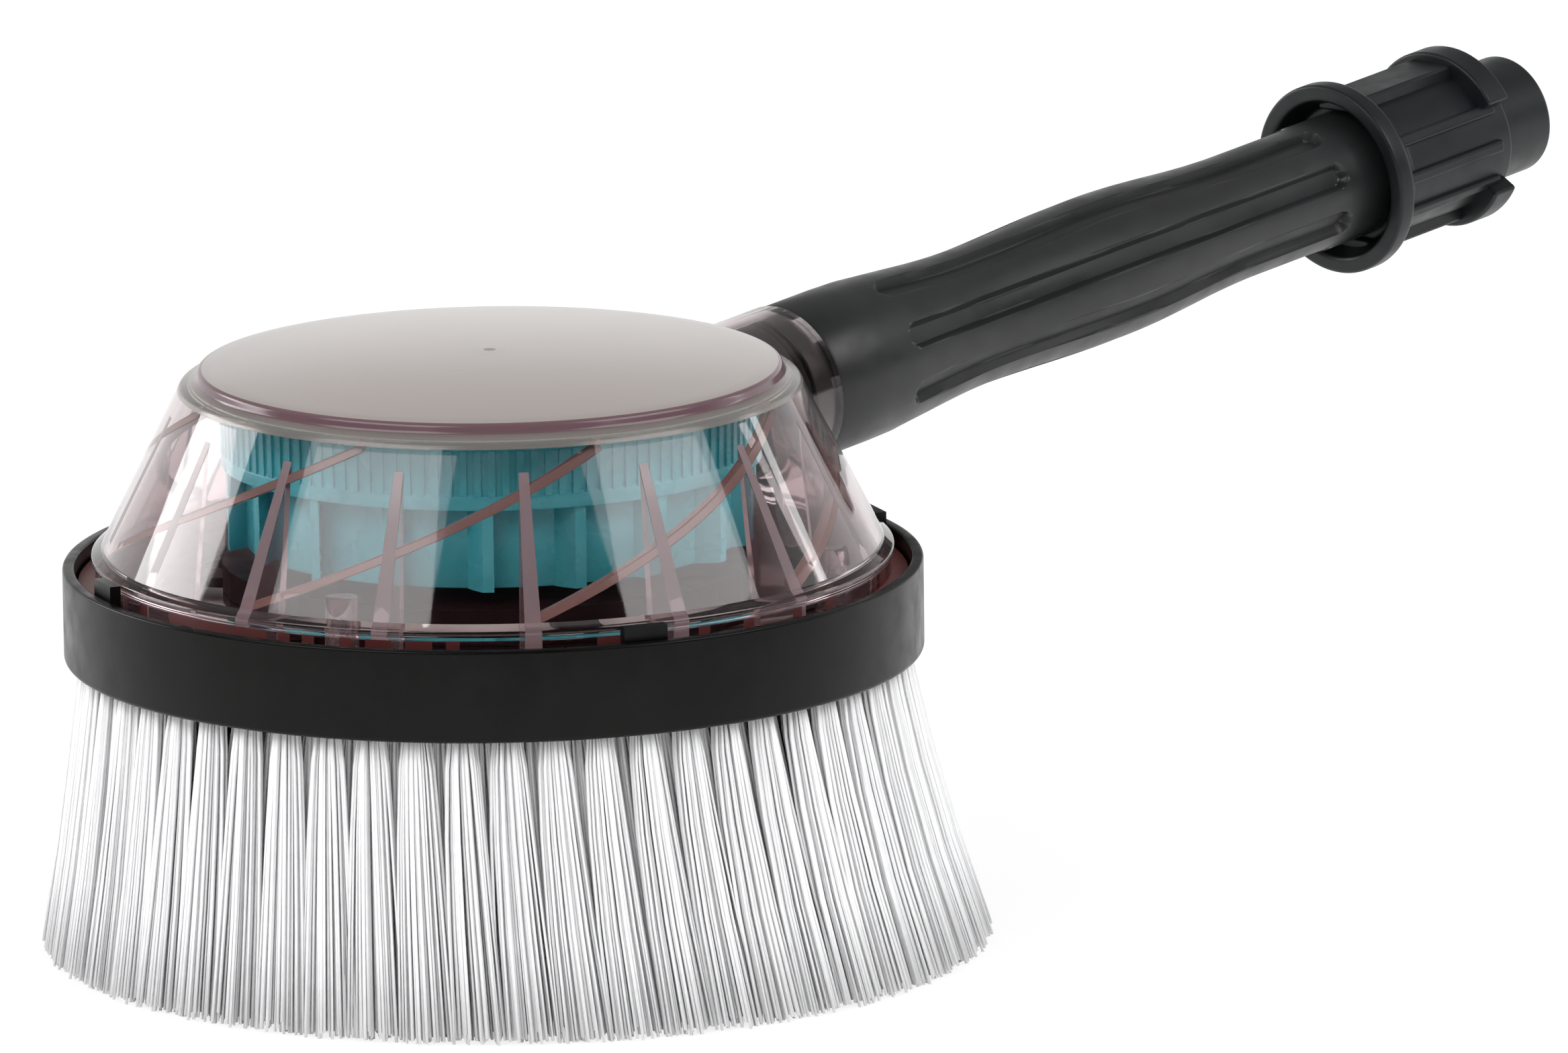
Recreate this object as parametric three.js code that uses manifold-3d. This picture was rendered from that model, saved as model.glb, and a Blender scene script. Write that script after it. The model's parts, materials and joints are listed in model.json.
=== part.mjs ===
// Rotary wash brush turned by its own water turbine, in millimetres, +Z up.
// It stands on its bristle tips at z = 0, the spindle is upright and the handle points along +X.
import * as THREE from 'three';
import { mergeVertices } from 'three/addons/utils/BufferGeometryUtils.js';
import Module from 'manifold-3d';

const wasm = await Module();
wasm.setup();

// Clearances
const seatGap = 0.3; // between pieces that rest on or in each other
const overrun = 1; // how far a cutter reaches past the face that it cuts

// Skirt ring
const skirtRadius = 85;
const skirtWall = 2.4;
const skirtRounding = 2; // of the lower outer edge
const skirtLip = 0.6; // bevel of the upper outer edge
const ledgeRoom = 1.3; // from the brush plate up to the shelf inside the skirt
const ledgeReach = 4; // of the shelf
const ledgeThickness = 2;
const rimStand = 3; // skirt rim above the foot of the cover

// Bristles
const bristleDrop = 58; // from the lower edge of the skirt to the floor
const bristleRootInset = 3.3; // from the inside of the skirt to the centres of the outer row
const tuftsPerRow = 60;
const bristleRows = 5;
const rowShrinkShare = 0.068; // each row's radius is less than the last one's by this share
const rowStaggerShare = 0.15; // of the space between tufts, to one side and the other by turns
const bristleFlareShare = 0.175; // growth of every radius from root to tip
const bristleLean = 4; // set of all the tips towards one side
const bristleLeanDegrees = -45;
const tuftWidthShare = 0.064; // side of a tuft as a share of its row's radius
const bristleTrim = 0.5; // depth of the flat cut at the tips
const backingThickness = 1.5;
const backingRecess = 0.9; // underside of the backing above the lower edge of the skirt
const backingMargin = 2.6; // backing beyond the tuft centres

// Brush plate
const plateThickness = 4.5;
const plateRunningGap = 1.1; // to the inside of the skirt
const plateHubRadius = 13;
const plateHubRise = 1.4; // above the plate
const waterHoleRadius = 4.5;
const waterHoleSetback = 7.35; // from the outside of the ring gear to the holes' circle
const waterHoles = 6;
const nutRecessGap = 1.5; // round the washer

// Axle and its fastenings
const axleRadius = 3;
const axleRunningGap = 0.35;
const axleTail = 0.6; // of the axle below the underside of the brush plate
const washerThickness = 0.8;
const washerRadius = 7;
const nutThickness = 2.6;
const nutAcrossCorners = 11;
const bushWall = 1.8;
const bushFlangeReach = 2.2;
const bushFlangeThickness = 1;

// Gear train: a pinion on the turbine, three planets and the toothed ring on the brush
const gearModule = 1.5;
const pinionTeeth = 12;
const planetTeeth = 18;
const ringTeeth = pinionTeeth + 2 * planetTeeth;
const planetCount = 3;
const pressureDegrees = 25;
const addendumShare = 0.8; // of the module
const dedendumShare = 1.1; // of the module
const backlash = 0.32;
const gearFace = 4.4; // width of the teeth of pinion and planets
const ringGearHeight = 7.4;
const ringGearWall = 5;
const planetPinRadius = 2;
const planetPinHeadRadius = 3.8;
const planetPinHeadHeight = 1.4;
const planetPinRoom = 1.4; // from the head down to the brush plate
const planetRunningGap = 0.35;
const planetBossRadius = 4.6;
const pinionSleeveStep = 0.55; // from the roots of the pinion's teeth in to the sleeve
const gearRoom = 2.1; // from the gears up to the disc of the drum

const ringScrews = 3;
const ringScrewInset = 2.25; // from the outside of the ring gear
const ringScrewFirstDegrees = 30;
const ringScrewReach = 5.2; // into the ring gear

// Gear carrier and the drum that stands on it, the fixed floor of the turbine chamber
const carrierThickness = 2.2;
const carrierRingWidth = 14.6;
const carrierSeatWidth = 5; // of the inner ring, on which the drum stands
const carrierSeatGap = 5.85; // from that ring to the ring gear that turns inside it
const carrierSpokes = 6;
const spokeWidth = 9;
const drumWall = 2.6;
const drumDiscThickness = 2.5;

// Clear cover
const coverHeight = 38.2; // from the skirt rim to the edge of the disc
const coverBaseInset = 3.4; // from the inside of the skirt to the cone, level with the rim
const shoulderStep = 3.6; // top of the cone beyond the edge of the disc
const shoulderDrop = 2.2; // from the edge of the disc to the top of the cone
const turbineRoom = 4.6; // from the turbine to the edge of the disc
const discEdgeRise = 1; // upper part of the disc's edge above the middle of that edge
const domeRise = 4; // from the disc's edge to its middle
const dimpleRadius = 1.3;
const dimpleDepth = 0.5;
const coverWall = 2.3;
const footThickness = 2;
const footSideGap = 0.5; // from the foot to the inside of the skirt
const uprightHeight = 4.4; // of the upright wall between the foot and the cone
const beadReach = 0.8; // stiffening bead where the cone meets that wall
const beadHeight = 2.4;
const gussets = 16;
const gussetThickness = 2;
const gussetSetback = 0.6; // of the inner edge's upper end, beyond the top of the cone
const gussetFootInset = 16.1; // from the inside of the skirt to the inner edge's lower end
const braces = 8;
const braceWidth = 1.9;
const braceDepth = 2;
const braceTurnDegrees = 52;
const ribFirstDegrees = 5.7; // of gussets and braces
const axleBossRadius = 6.4;
const axleBossDrop = 4.6; // of the boss below the underside of the dome
const axleSocketDepth = 5.2;

// Neck of the cover, along the handle's axis
const neckStand = 25.45; // of the neck's end beyond the edge of the disc
const neckDrop = 16.46; // of the axis at the neck's end, below the edge of the disc
const neckTiltDegrees = 6.2;
const neckRadius = 16.5;
const neckWall = 2.4;
const neckStop = 1.9; // step from the socket in to the throat

// Screws that hold the carrier to the cover
const coverScrews = 4;
const coverScrewInset = 10.1; // from the inside of the skirt
const coverScrewFirstDegrees = 21;
const screwBossRadius = 3.4;
const screwBossHeight = 15;
const screwShankRadius = 1.4;
const screwLength = 11;
const screwHeadRadius = 2.7;
const screwHeadHeight = 1.6;

// Clips that hold the cover in the skirt
const clips = 4;
const clipFirstDegrees = -24;
const clipPostWidth = 6;
const clipHeadWidth = 9;
const clipHeight = 5.5; // of the head, above the foot of the cover
const clipDepth = 2.2;

// Turbine wheel
const turbineInset = 0.5; // of the wheel from the outside of the chamber's drum
const turbineLift = 3.4; // underside of the wheel above the drum
const turbineHeadroom = 1.9; // from the wheel up to the axle's boss
const turbineWebShare = 0.63; // height of the web as a share of the wheel's height
const turbineWebThickness = 1.8;
const turbineHubRadius = 10.5;
const turbineHubDrop = 4.8; // top of the hub below the top of the wheel
const turbineWall = 2; // of the upper band and of the inner drum
const turbineDrumRadius = 43; // of the inner drum, at the roots of the blades
const turbineBlades = 18;
const bladeThickness = 2.2;
const bladeTipInset = 0.6; // of the blades' tips from the outside of the band
const bladeSweepDegrees = 14; // from root to tip

// Nozzle in the neck
const nozzleFlangeThickness = 3.6;
const nozzleSnoutRadius = 4.2;
const nozzleSnoutLength = 6;
const nozzleSideGap = 1; // from the throat to the snout, which is to one side and so turns the wheel
const nozzleEndGap = 0.5; // behind the flange
const nozzleMouthFlare = 0.4; // mouth of the funnel beyond the outside of the snout
const jetRadius = 1.5;

// Handle, whose stations are measured along it from the end of the neck
const handleLength = 168;
const handleBaseStep = 0.3; // from the neck in to the handle's base
const handleWaistRadius = 14.2;
const handleSwellRadius = 15.2;
const handleTailRadius = 13.2;
const handleBaseLength = 15;
const handleWaistShare = 0.305;
const handleSwellShare = 0.533;
const handleTailShare = 0.781;
const handleBoreRadius = 5.5;
const flutes = 8;
const fluteWidth = 5.6;
const fluteDepth = 1.9;
const fluteStart = 22;
const fluteEndInset = 13; // from the end of the flutes to the end of the handle
const fluteFloorShare = 0.82; // width of a flute's floor as a share of its mouth
const endShare = 0.5; // width of the flat at a flute's round end, as a share of the flute's width
const spigotGap = 0.25;
const spigotLength = 14;
const tailSpigotLength = 12;

// Sealing rings
const sealSection = 0.95;
const sealGrooveWidth = 2.8;
const sealGrooveDepth = 1.9;

// Bayonet coupling, whose stations are also measured from the end of the neck
const couplingOverlap = 5.4; // of the coupling's mouth over the handle's end
const couplingLength = 55;
const flangeWall = 3.3; // round the mouth
const flangeWidth = 4.2;
const flangeTaper = 5;
const mouthGap = 3.5; // from the handle to the mouth round it
const mouthEndGap = 0.6;
const mouthTaper = 2;
const couplingBodyRadius = 15;
const couplingWall = 4.2; // round the handle's tail spigot
const couplingTipStep = 2.7; // from the body in to the tip
const couplingTipLength = 15;
const couplingTipRounding = 1.6;
const couplingBoreRadius = 4.5;
const lugRise = 3.6; // beyond the body
const lugWidth = 7;
const lugSpanDegrees = 118;
const keyWidth = 11;
const keyRise = 1.6;
const barWidth = 2.6;
const barRise = 1.1;
const barDegrees = [60, 90, 120, 240, 270, 300];
const couplingPinRadius = 1.2;
const couplingPinStation = 4.2; // from the end of the handle's body into its tail spigot
const couplingPinRecess = 0.8;

// Faceting
const roundSides = 36;
const gripSides = 20;
const smallSides = 10;
const screwSides = 8;

// Heights that follow from the sizes above
const backingBottom = bristleDrop + backingRecess;
const plateBottom = backingBottom + backingThickness + seatGap;
const plateTop = plateBottom + plateThickness;
const plateHubTop = plateTop + plateHubRise;
const ledgeBottom = plateTop + ledgeRoom;
const ledgeTop = ledgeBottom + ledgeThickness;
const carrierBottom = ledgeTop + seatGap;
const carrierTop = carrierBottom + carrierThickness;
const footBottom = carrierTop + seatGap;
const footTop = footBottom + footThickness;
const skirtTop = footTop + rimStand;
const pinHeadBottom = plateTop + planetPinRoom;
const gearBottom = pinHeadBottom + planetPinHeadHeight + seatGap;
const gearTop = gearBottom + gearFace;
const drumUnderside = gearTop + gearRoom;
const drumTop = drumUnderside + drumDiscThickness;
const planetPinTop = drumTop - drumDiscThickness / 2;
const ringScrewTop = plateTop + seatGap + ringScrewReach;
const nutRecessDepth = washerThickness + nutThickness + seatGap;
const washerTop = plateBottom + nutRecessDepth - seatGap;
const washerBottom = washerTop - washerThickness;
const bushFlangeTop = drumTop + seatGap + bushFlangeThickness;
const turbineHubBottom = bushFlangeTop + seatGap;
const discEdge = skirtTop + coverHeight;
const coneTop = discEdge - shoulderDrop;
const domeTop = discEdge + domeRise;
const domeUnderside = domeTop - coverWall;
const axleBossBottom = domeUnderside - axleBossDrop;
const axleTop = axleBossBottom + axleSocketDepth - seatGap;
const axleBottom = plateBottom - axleTail;
const wheelBottom = drumTop + turbineLift;
const wheelTop = axleBossBottom - turbineHeadroom;
const webHeight = wheelBottom + (wheelTop - wheelBottom) * turbineWebShare;
const turbineHubTop = wheelTop - turbineHubDrop;

// Radii of the gear train
const addendum = gearModule * addendumShare;
const dedendum = gearModule * dedendumShare;
const pitch = { pinion: (pinionTeeth * gearModule) / 2, planet: (planetTeeth * gearModule) / 2 };
pitch.ring = (ringTeeth * gearModule) / 2;
const planetCircle = pitch.pinion + pitch.planet;
const planetAngles = evenAngles(planetCount);
const pinHole = planetPinRadius + planetRunningGap;
const axleHole = axleRadius + axleRunningGap;
const pinionSleeveRadius = pitch.pinion - dedendum - pinionSleeveStep;
const ringGearRadius = pitch.ring + dedendum + ringGearWall;
const ringScrewCircle = ringGearRadius - ringScrewInset;
const waterHoleCircle = ringGearRadius + waterHoleSetback;

// Radii of the chamber, the turbine and the cover, from the gears outwards
const carrierSeatInside = ringGearRadius + carrierSeatGap;
const drumRadius = carrierSeatInside + carrierSeatWidth;
const turbineRadius = drumRadius - turbineInset;
const discRadius = turbineRadius + turbineRoom;
const coverShoulderRadius = discRadius + shoulderStep;
const gussetInnerRadius = coverShoulderRadius + gussetSetback;

// Radii that follow from the inside of the skirt
const skirtInside = skirtRadius - skirtWall;
const footRadius = skirtInside - footSideGap;
const coverBaseRadius = skirtInside - coverBaseInset;
const coverScrewCircle = skirtInside - coverScrewInset;
const gussetFootRadius = skirtInside - gussetFootInset;
const carrierRingInside = footRadius - carrierRingWidth;
const bristleRootRadius = skirtInside - bristleRootInset;
const coneSlope = (coverBaseRadius - coverShoulderRadius) / (coneTop - skirtTop);

// Places and radii along the handle's axis
const neckReach = discRadius + neckStand;
const neckHeight = discEdge - neckDrop;
const neckTilt = THREE.MathUtils.degToRad(neckTiltDegrees);
const neckBoreRadius = neckRadius - neckWall;
const neckThroatRadius = neckBoreRadius - neckStop;
const neckSocketDepth = spigotLength + seatGap + nozzleFlangeThickness + nozzleEndGap;
const nozzleOffset = neckThroatRadius - nozzleSideGap - nozzleSnoutRadius;
const handleBaseRadius = neckRadius - handleBaseStep;
const fluteEnd = handleLength - fluteEndInset;
const couplingMouth = handleLength - couplingOverlap;
const couplingTip = couplingMouth + couplingLength;
const mouthRadius = handleTailRadius + mouthGap;
const mouthDepth = couplingOverlap + mouthEndGap;
const flangeRadius = mouthRadius + flangeWall;
const tailSpigotRadius = couplingBodyRadius - couplingWall;
const couplingPinOffset = tailSpigotRadius - couplingPinRadius;

// The handle's own frame: its z axis runs outwards along the handle from the end of the neck.
const handleFrame = new THREE.Group();
handleFrame.position.set(neckReach, 0, neckHeight);
handleFrame.rotation.y = Math.PI / 2 - neckTilt;
handleFrame.updateMatrix();

// Turns a closed three.js geometry into a solid, with its faces pointing out.
function solid(geometry) {
  const bare = geometry.clone();
  bare.deleteAttribute('normal');
  bare.deleteAttribute('uv');
  const merged = mergeVertices(bare);
  const corners = merged.attributes.position;
  const triangles = [];
  const point = [new THREE.Vector3(), new THREE.Vector3(), new THREE.Vector3()];
  let volume = 0;
  for (let i = 0; i < merged.index.count; i += 3) {
    const [a, b, c] = [0, 1, 2].map((k) => merged.index.getX(i + k));
    if (a === b || b === c || c === a) continue;
    triangles.push([a, b, c]);
    [a, b, c].forEach((corner, k) => point[k].fromBufferAttribute(corners, corner));
    volume += point[0].dot(point[1].cross(point[2]));
  }
  const outward = volume > 0 ? triangles : triangles.map(([a, b, c]) => [a, c, b]);
  return new wasm.Manifold(
    new wasm.Mesh({
      numProp: 3,
      vertProperties: new Float32Array(corners.array),
      triVerts: new Uint32Array(outward.flat()),
    }),
  );
}

// Joins solids into one.
function join(first, ...others) {
  return others.reduce((sum, other) => sum.add(other), first);
}

// Cuts solids out of the first one.
function cut(first, ...tools) {
  return tools.reduce((rest, tool) => rest.subtract(tool), first);
}

// A body of revolution about z from [radius, height] points.
function revolveGeometry(profile, sides = roundSides) {
  const points = profile.map(([radius, height]) => new THREE.Vector2(radius, height));
  const onAxis = points[0].x === 0 && points[points.length - 1].x === 0;
  if (!onAxis) points.push(points[0].clone());
  return new THREE.LatheGeometry(points, sides).rotateX(Math.PI / 2);
}

function revolve(profile, sides) {
  return solid(revolveGeometry(profile, sides));
}

// A cylinder between two heights, moved sideways where a centre is given.
function cylinderGeometry(radius, bottom, top, sides = smallSides, x = 0, y = 0) {
  return new THREE.CylinderGeometry(radius, radius, top - bottom, sides)
    .rotateX(Math.PI / 2)
    .translate(x, y, (top + bottom) / 2);
}

function cylinder(...size) {
  return solid(cylinderGeometry(...size));
}

// A tube with its wall between two radii.
function tube(inner, outer, bottom, top, sides = smallSides) {
  return revolve([[inner, bottom], [outer, bottom], [outer, top], [inner, top]], sides);
}

// A prism over a closed outline of [x, y] points.
function prismGeometry(outline, bottom, top) {
  const shape = new THREE.Shape(outline.map(([x, y]) => new THREE.Vector2(x, y)));
  const geometry = new THREE.ExtrudeGeometry(shape, { depth: top - bottom, bevelEnabled: false });
  return geometry.translate(0, 0, bottom);
}

function prism(outline, bottom, top) {
  return solid(prismGeometry(outline, bottom, top));
}

// A box between two corners.
function boxGeometry(low, high) {
  const size = high.map((value, k) => value - low[k]);
  const middle = high.map((value, k) => (value + low[k]) / 2);
  return new THREE.BoxGeometry(...size).translate(...middle);
}

// The same geometry turned about z, once for each angle in degrees.
function around(geometry, angles) {
  return angles.map((angle) => solid(geometry.clone().rotateZ(THREE.MathUtils.degToRad(angle))));
}

function evenAngles(count, first = 0) {
  return Array.from({ length: count }, (_, k) => first + (k * 360) / count);
}

function polar(radius, angle) {
  return [radius * Math.cos(angle), radius * Math.sin(angle)];
}

// A closed loft through rings of equal point count.
function loft(rings) {
  const size = rings[0].length;
  const corners = rings.flat(2);
  const faces = [];
  for (let ring = 0; ring < rings.length - 1; ring += 1) {
    for (let k = 0; k < size; k += 1) {
      const a = ring * size + k;
      const b = ring * size + ((k + 1) % size);
      faces.push(a, b, b + size, a, b + size, a + size);
    }
  }
  const last = (rings.length - 1) * size;
  for (let k = 1; k < size - 1; k += 1) {
    faces.push(0, k + 1, k);
    faces.push(last, last + k, last + k + 1);
  }
  const geometry = new THREE.BufferGeometry();
  geometry.setAttribute('position', new THREE.Float32BufferAttribute(corners, 3));
  geometry.setIndex(faces);
  return geometry;
}

// Several separate geometries as one, so that they join or cut in a single step.
function gather(geometries) {
  const corners = [];
  const faces = [];
  geometries.forEach((geometry) => {
    const start = corners.length / 3;
    corners.push(...geometry.attributes.position.array);
    faces.push(...Array.from(geometry.index.array, (corner) => corner + start));
  });
  const all = new THREE.BufferGeometry();
  all.setAttribute('position', new THREE.Float32BufferAttribute(corners, 3));
  all.setIndex(faces);
  return all;
}

function finish(color, roughness, metalness = 0, extra = {}) {
  return new THREE.MeshStandardMaterial({ color, roughness, metalness, ...extra });
}

const materials = {
  blackPlastic: finish(0x2b2d2e, 0.5),
  softBlack: finish(0x24262a, 0.6),
  clearPlastic: finish(0xb9a9a9, 0.1, 0, { transparent: true, opacity: 0.35 }),
  tealPlastic: finish(0x14838a, 0.4),
  whiteNylon: finish(0xe4e2dc, 0.5),
  paleBristle: finish(0xe8e8ea, 0.7),
  rubber: finish(0x1a1a1a, 0.8),
  steel: finish(0xb8babd, 0.3, 1),
  bronze: finish(0xa67c45, 0.4, 1),
};

const root = new THREE.Group();
root.add(handleFrame);

function addPart(name, body, material, parent = root) {
  const mesh = body.getMesh();
  const geometry = new THREE.BufferGeometry();
  geometry.setAttribute('position', new THREE.Float32BufferAttribute(mesh.vertProperties, 3));
  geometry.setIndex(Array.from(mesh.triVerts));
  geometry.computeVertexNormals();
  const piece = new THREE.Mesh(geometry, material);
  piece.name = name;
  parent.add(piece);
}

// Skirt ring with its inner shelf, open above and below
function skirtRing() {
  const cornerSteps = 2;
  const rounding = Math.min(skirtRounding, skirtWall - seatGap);
  const corner = Array.from({ length: cornerSteps + 1 }, (_, k) => {
    const angle = (k / cornerSteps) * (Math.PI / 2);
    return [
      skirtRadius - rounding * (1 - Math.sin(angle)),
      bristleDrop + rounding * (1 - Math.cos(angle)),
    ];
  });
  return revolve([
    [skirtInside, bristleDrop],
    ...corner,
    [skirtRadius, skirtTop - skirtLip],
    [skirtRadius - skirtLip, skirtTop],
    [skirtInside, skirtTop],
    [skirtInside, ledgeTop],
    [skirtInside - ledgeReach, ledgeTop],
    [skirtInside - ledgeReach, ledgeBottom],
    [skirtInside, ledgeBottom],
  ]);
}

// Radius of the cone's outside at a height
function coneRadius(height) {
  return coverShoulderRadius + (coneTop - height) * coneSlope;
}

const uprightTop = footTop + uprightHeight;
const uprightRadius = coneRadius(uprightTop);

// Points of the dome, from the middle outwards, lowered by a distance
function domePoints(lowered, edgeRadius) {
  const steps = 2;
  const edgeTop = discEdge + discEdgeRise;
  return Array.from({ length: steps }, (_, k) => {
    const share = (k + 1) / steps;
    const height = domeTop - (domeTop - edgeTop) * share * share;
    return [edgeRadius * share, height - lowered];
  });
}

// A thin upright plate inside the cone, deeper towards the foot
function gussetGeometry() {
  const halfWall = coverWall / 2;
  const top = coneTop - (gussetInnerRadius + coverWall - coverShoulderRadius) / coneSlope;
  const outline = [
    [gussetFootRadius, footBottom],
    [uprightRadius - halfWall, footBottom],
    [uprightRadius - halfWall, uprightTop],
    [coneRadius(top) - halfWall, top],
    [gussetInnerRadius, top],
  ];
  return prismGeometry(outline, -gussetThickness / 2, gussetThickness / 2).rotateX(Math.PI / 2);
}

// A slanting rib that climbs round the inside of the cone
function braceGeometry() {
  const steps = 2;
  const bottom = uprightTop + braceWidth;
  const top = coneTop - braceWidth;
  const rings = Array.from({ length: steps + 1 }, (_, k) => {
    const share = k / steps;
    const height = bottom + (top - bottom) * share;
    const angle = THREE.MathUtils.degToRad(braceTurnDegrees * share);
    const wall = (level) => coneRadius(level) - coverWall / 2;
    const inner = (level) => coneRadius(level) - coverWall - braceDepth;
    const low = height - braceWidth / 2;
    const high = height + braceWidth / 2;
    return [
      [...polar(inner(low), angle), low],
      [...polar(wall(low), angle), low],
      [...polar(wall(high), angle), high],
      [...polar(inner(high), angle), high],
    ];
  });
  return loft(rings);
}

// Clear shell: domed disc, cone, foot, neck and the ribs that stiffen them
function coverShell() {
  const outside = revolve([
    [0, domeTop - dimpleDepth],
    [dimpleRadius, domeTop],
    ...domePoints(0, discRadius),
    [discRadius + coverWall / 4, discEdge - discEdgeRise],
    [coverShoulderRadius, coneTop],
    [coneRadius(uprightTop + beadHeight), uprightTop + beadHeight],
    [uprightRadius + beadReach, uprightTop],
    [uprightRadius, uprightTop - beadReach],
    [uprightRadius, footTop],
    [footRadius, footTop],
    [footRadius, footBottom],
    [0, footBottom],
  ]);
  const hollow = revolve([
    [0, domeUnderside],
    ...domePoints(coverWall, discRadius - coverWall),
    [coverShoulderRadius - coverWall, coneTop - coverWall / 2],
    [uprightRadius - coverWall, uprightTop],
    [uprightRadius - coverWall, footBottom - overrun],
    [0, footBottom - overrun],
  ]);
  const alongNeck = (radius, from, to) => {
    const stock = cylinderGeometry(radius, from, to, gripSides);
    return solid(stock.applyMatrix4(handleFrame.matrix));
  };
  const neck = alongNeck(neckRadius, -neckReach / 2, 0);
  const throat = alongNeck(neckThroatRadius, -neckReach / 2, 0);
  const socket = alongNeck(neckBoreRadius, -neckSocketDepth, overrun);
  const ribs = around(gussetGeometry(), evenAngles(gussets, ribFirstDegrees));
  const slants = around(braceGeometry(), evenAngles(braces, ribFirstDegrees));
  const screwAngles = evenAngles(coverScrews, coverScrewFirstDegrees);
  const bossTop = footBottom + screwBossHeight;
  const bossStock = cylinderGeometry(screwBossRadius, footBottom, bossTop, screwSides, coverScrewCircle);
  const holeTop = footBottom + screwLength - carrierThickness;
  const screwHole = cylinderGeometry(
    screwShankRadius + seatGap, footBottom - overrun, holeTop, screwSides, coverScrewCircle);
  const bosses = around(bossStock, screwAngles).map((boss) => boss.intersect(outside));
  const axleBoss = cylinder(axleBossRadius, axleBossBottom, domeUnderside + coverWall / 2);
  const axleSocket = cylinder(
    axleRadius + seatGap, axleBossBottom - overrun, axleBossBottom + axleSocketDepth);
  const shell = cut(join(outside, neck), hollow);
  const stiffened = join(shell, ...ribs, ...slants, ...bosses, axleBoss);
  const notches = clipNotches(footBottom - overrun, footTop + overrun);
  return cut(stiffened, throat, socket, axleSocket, ...around(screwHole, screwAngles), ...notches);
}

// Notches in the foot and in the carrier's ring, through which the clips reach the shelf
function clipNotches(bottom, top) {
  const half = clipPostWidth / 2 + seatGap;
  const notch = boxGeometry(
    [footRadius - clipDepth - seatGap, -half, bottom], [footRadius + overrun, half, top]);
  return around(notch, evenAngles(clips, clipFirstDegrees));
}

// Clips that stand on the shelf inside the skirt, their heads over the foot of the cover
function coverClips() {
  const headBottom = footTop + seatGap;
  const block = (width, bottom, top) =>
    boxGeometry([footRadius - clipDepth, -width / 2, bottom], [footRadius, width / 2, top]);
  const angles = evenAngles(clips, clipFirstDegrees);
  const posts = around(block(clipPostWidth, ledgeTop + seatGap, headBottom + clipHeight / 2), angles);
  const heads = around(block(clipHeadWidth, headBottom, headBottom + clipHeight), angles);
  return posts.map((post, k) => join(post, heads[k]));
}

// Half of the angle that a tooth or a space takes up at a radius, along an involute flank
function flankAngle(radius, teeth, growth) {
  const pitchRadius = (teeth * gearModule) / 2;
  const baseRadius = pitchRadius * Math.cos(THREE.MathUtils.degToRad(pressureDegrees));
  const involute = (at) => {
    const pressure = Math.acos(Math.min(1, baseRadius / at));
    return Math.tan(pressure) - pressure;
  };
  const thickness = (Math.PI * gearModule) / 2 + growth;
  return thickness / (2 * pitchRadius) + involute(pitchRadius) - involute(radius);
}

// Outline of a gear whose first tooth is centred on an angle
function gearOutline(teeth, innerRadius, outerRadius, growth, firstAngle) {
  const radii = [innerRadius, outerRadius];
  const outline = [];
  for (let tooth = 0; tooth < teeth; tooth += 1) {
    const centre = firstAngle + (tooth * 2 * Math.PI) / teeth;
    radii.forEach((radius) => outline.push(polar(radius, centre - flankAngle(radius, teeth, growth))));
    [...radii].reverse().forEach((radius) => {
      outline.push(polar(radius, centre + flankAngle(radius, teeth, growth)));
    });
  }
  return outline;
}

// Pinion with the sleeve that drives it from the turbine's hub, through the carrier's bush
function drivePinion() {
  const outline = gearOutline(
    pinionTeeth, pitch.pinion - dedendum, pitch.pinion + addendum, -backlash / 2, 0);
  const teeth = prism(outline, gearBottom, gearTop);
  const sleeve = cylinder(pinionSleeveRadius, gearBottom, turbineHubBottom - seatGap, gripSides);
  const bore = cylinder(axleHole, gearBottom - overrun, turbineHubBottom + overrun);
  return cut(join(teeth, sleeve), bore);
}

// A planet meets a pinion tooth at its own angle round the spindle.
function planetGear(degrees) {
  const angle = THREE.MathUtils.degToRad(degrees);
  const pinionPhase = (-angle * pinionTeeth) / (2 * Math.PI);
  const firstTooth = angle + Math.PI - ((pinionPhase + 0.5) * 2 * Math.PI) / planetTeeth;
  const outline = gearOutline(
    planetTeeth, pitch.planet - dedendum, pitch.planet + addendum, -backlash / 2, firstTooth);
  const [x, y] = polar(planetCircle, angle);
  const body = solid(prismGeometry(outline, gearBottom, gearTop).translate(x, y, 0));
  return cut(body, cylinder(pinHole, gearBottom - overrun, gearTop + overrun, smallSides, x, y));
}

// The ring's spaces have the outline of an outside gear, widened by the backlash.
function ringGear() {
  const bottom = plateTop + seatGap;
  const top = bottom + ringGearHeight;
  const firstSpace = (Math.PI / ringTeeth) * (1 + planetTeeth);
  const spaces = gearOutline(
    ringTeeth, pitch.ring - addendum, pitch.ring + dedendum, backlash / 2, firstSpace);
  const screwHoles = evenAngles(ringScrews, ringScrewFirstDegrees).map((degrees) => {
    const [x, y] = polar(ringScrewCircle, THREE.MathUtils.degToRad(degrees));
    return cylinder(
      screwShankRadius + seatGap, bottom - overrun, ringScrewTop + seatGap, screwSides, x, y);
  });
  return cut(
    cylinder(ringGearRadius, bottom, top, roundSides),
    prism(spaces, bottom - overrun, top + overrun),
    ...screwHoles,
  );
}

// A headed pin, pressed up into the carrier, for each planet
function planetPin(degrees) {
  const [x, y] = polar(planetCircle, THREE.MathUtils.degToRad(degrees));
  const headTop = pinHeadBottom + planetPinHeadHeight;
  const pin = revolveGeometry([
    [0, pinHeadBottom],
    [planetPinHeadRadius, pinHeadBottom],
    [planetPinHeadRadius, headTop],
    [planetPinRadius, headTop],
    [planetPinRadius, planetPinTop],
    [0, planetPinTop],
  ], smallSides);
  return solid(pin.translate(x, y, 0));
}

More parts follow.
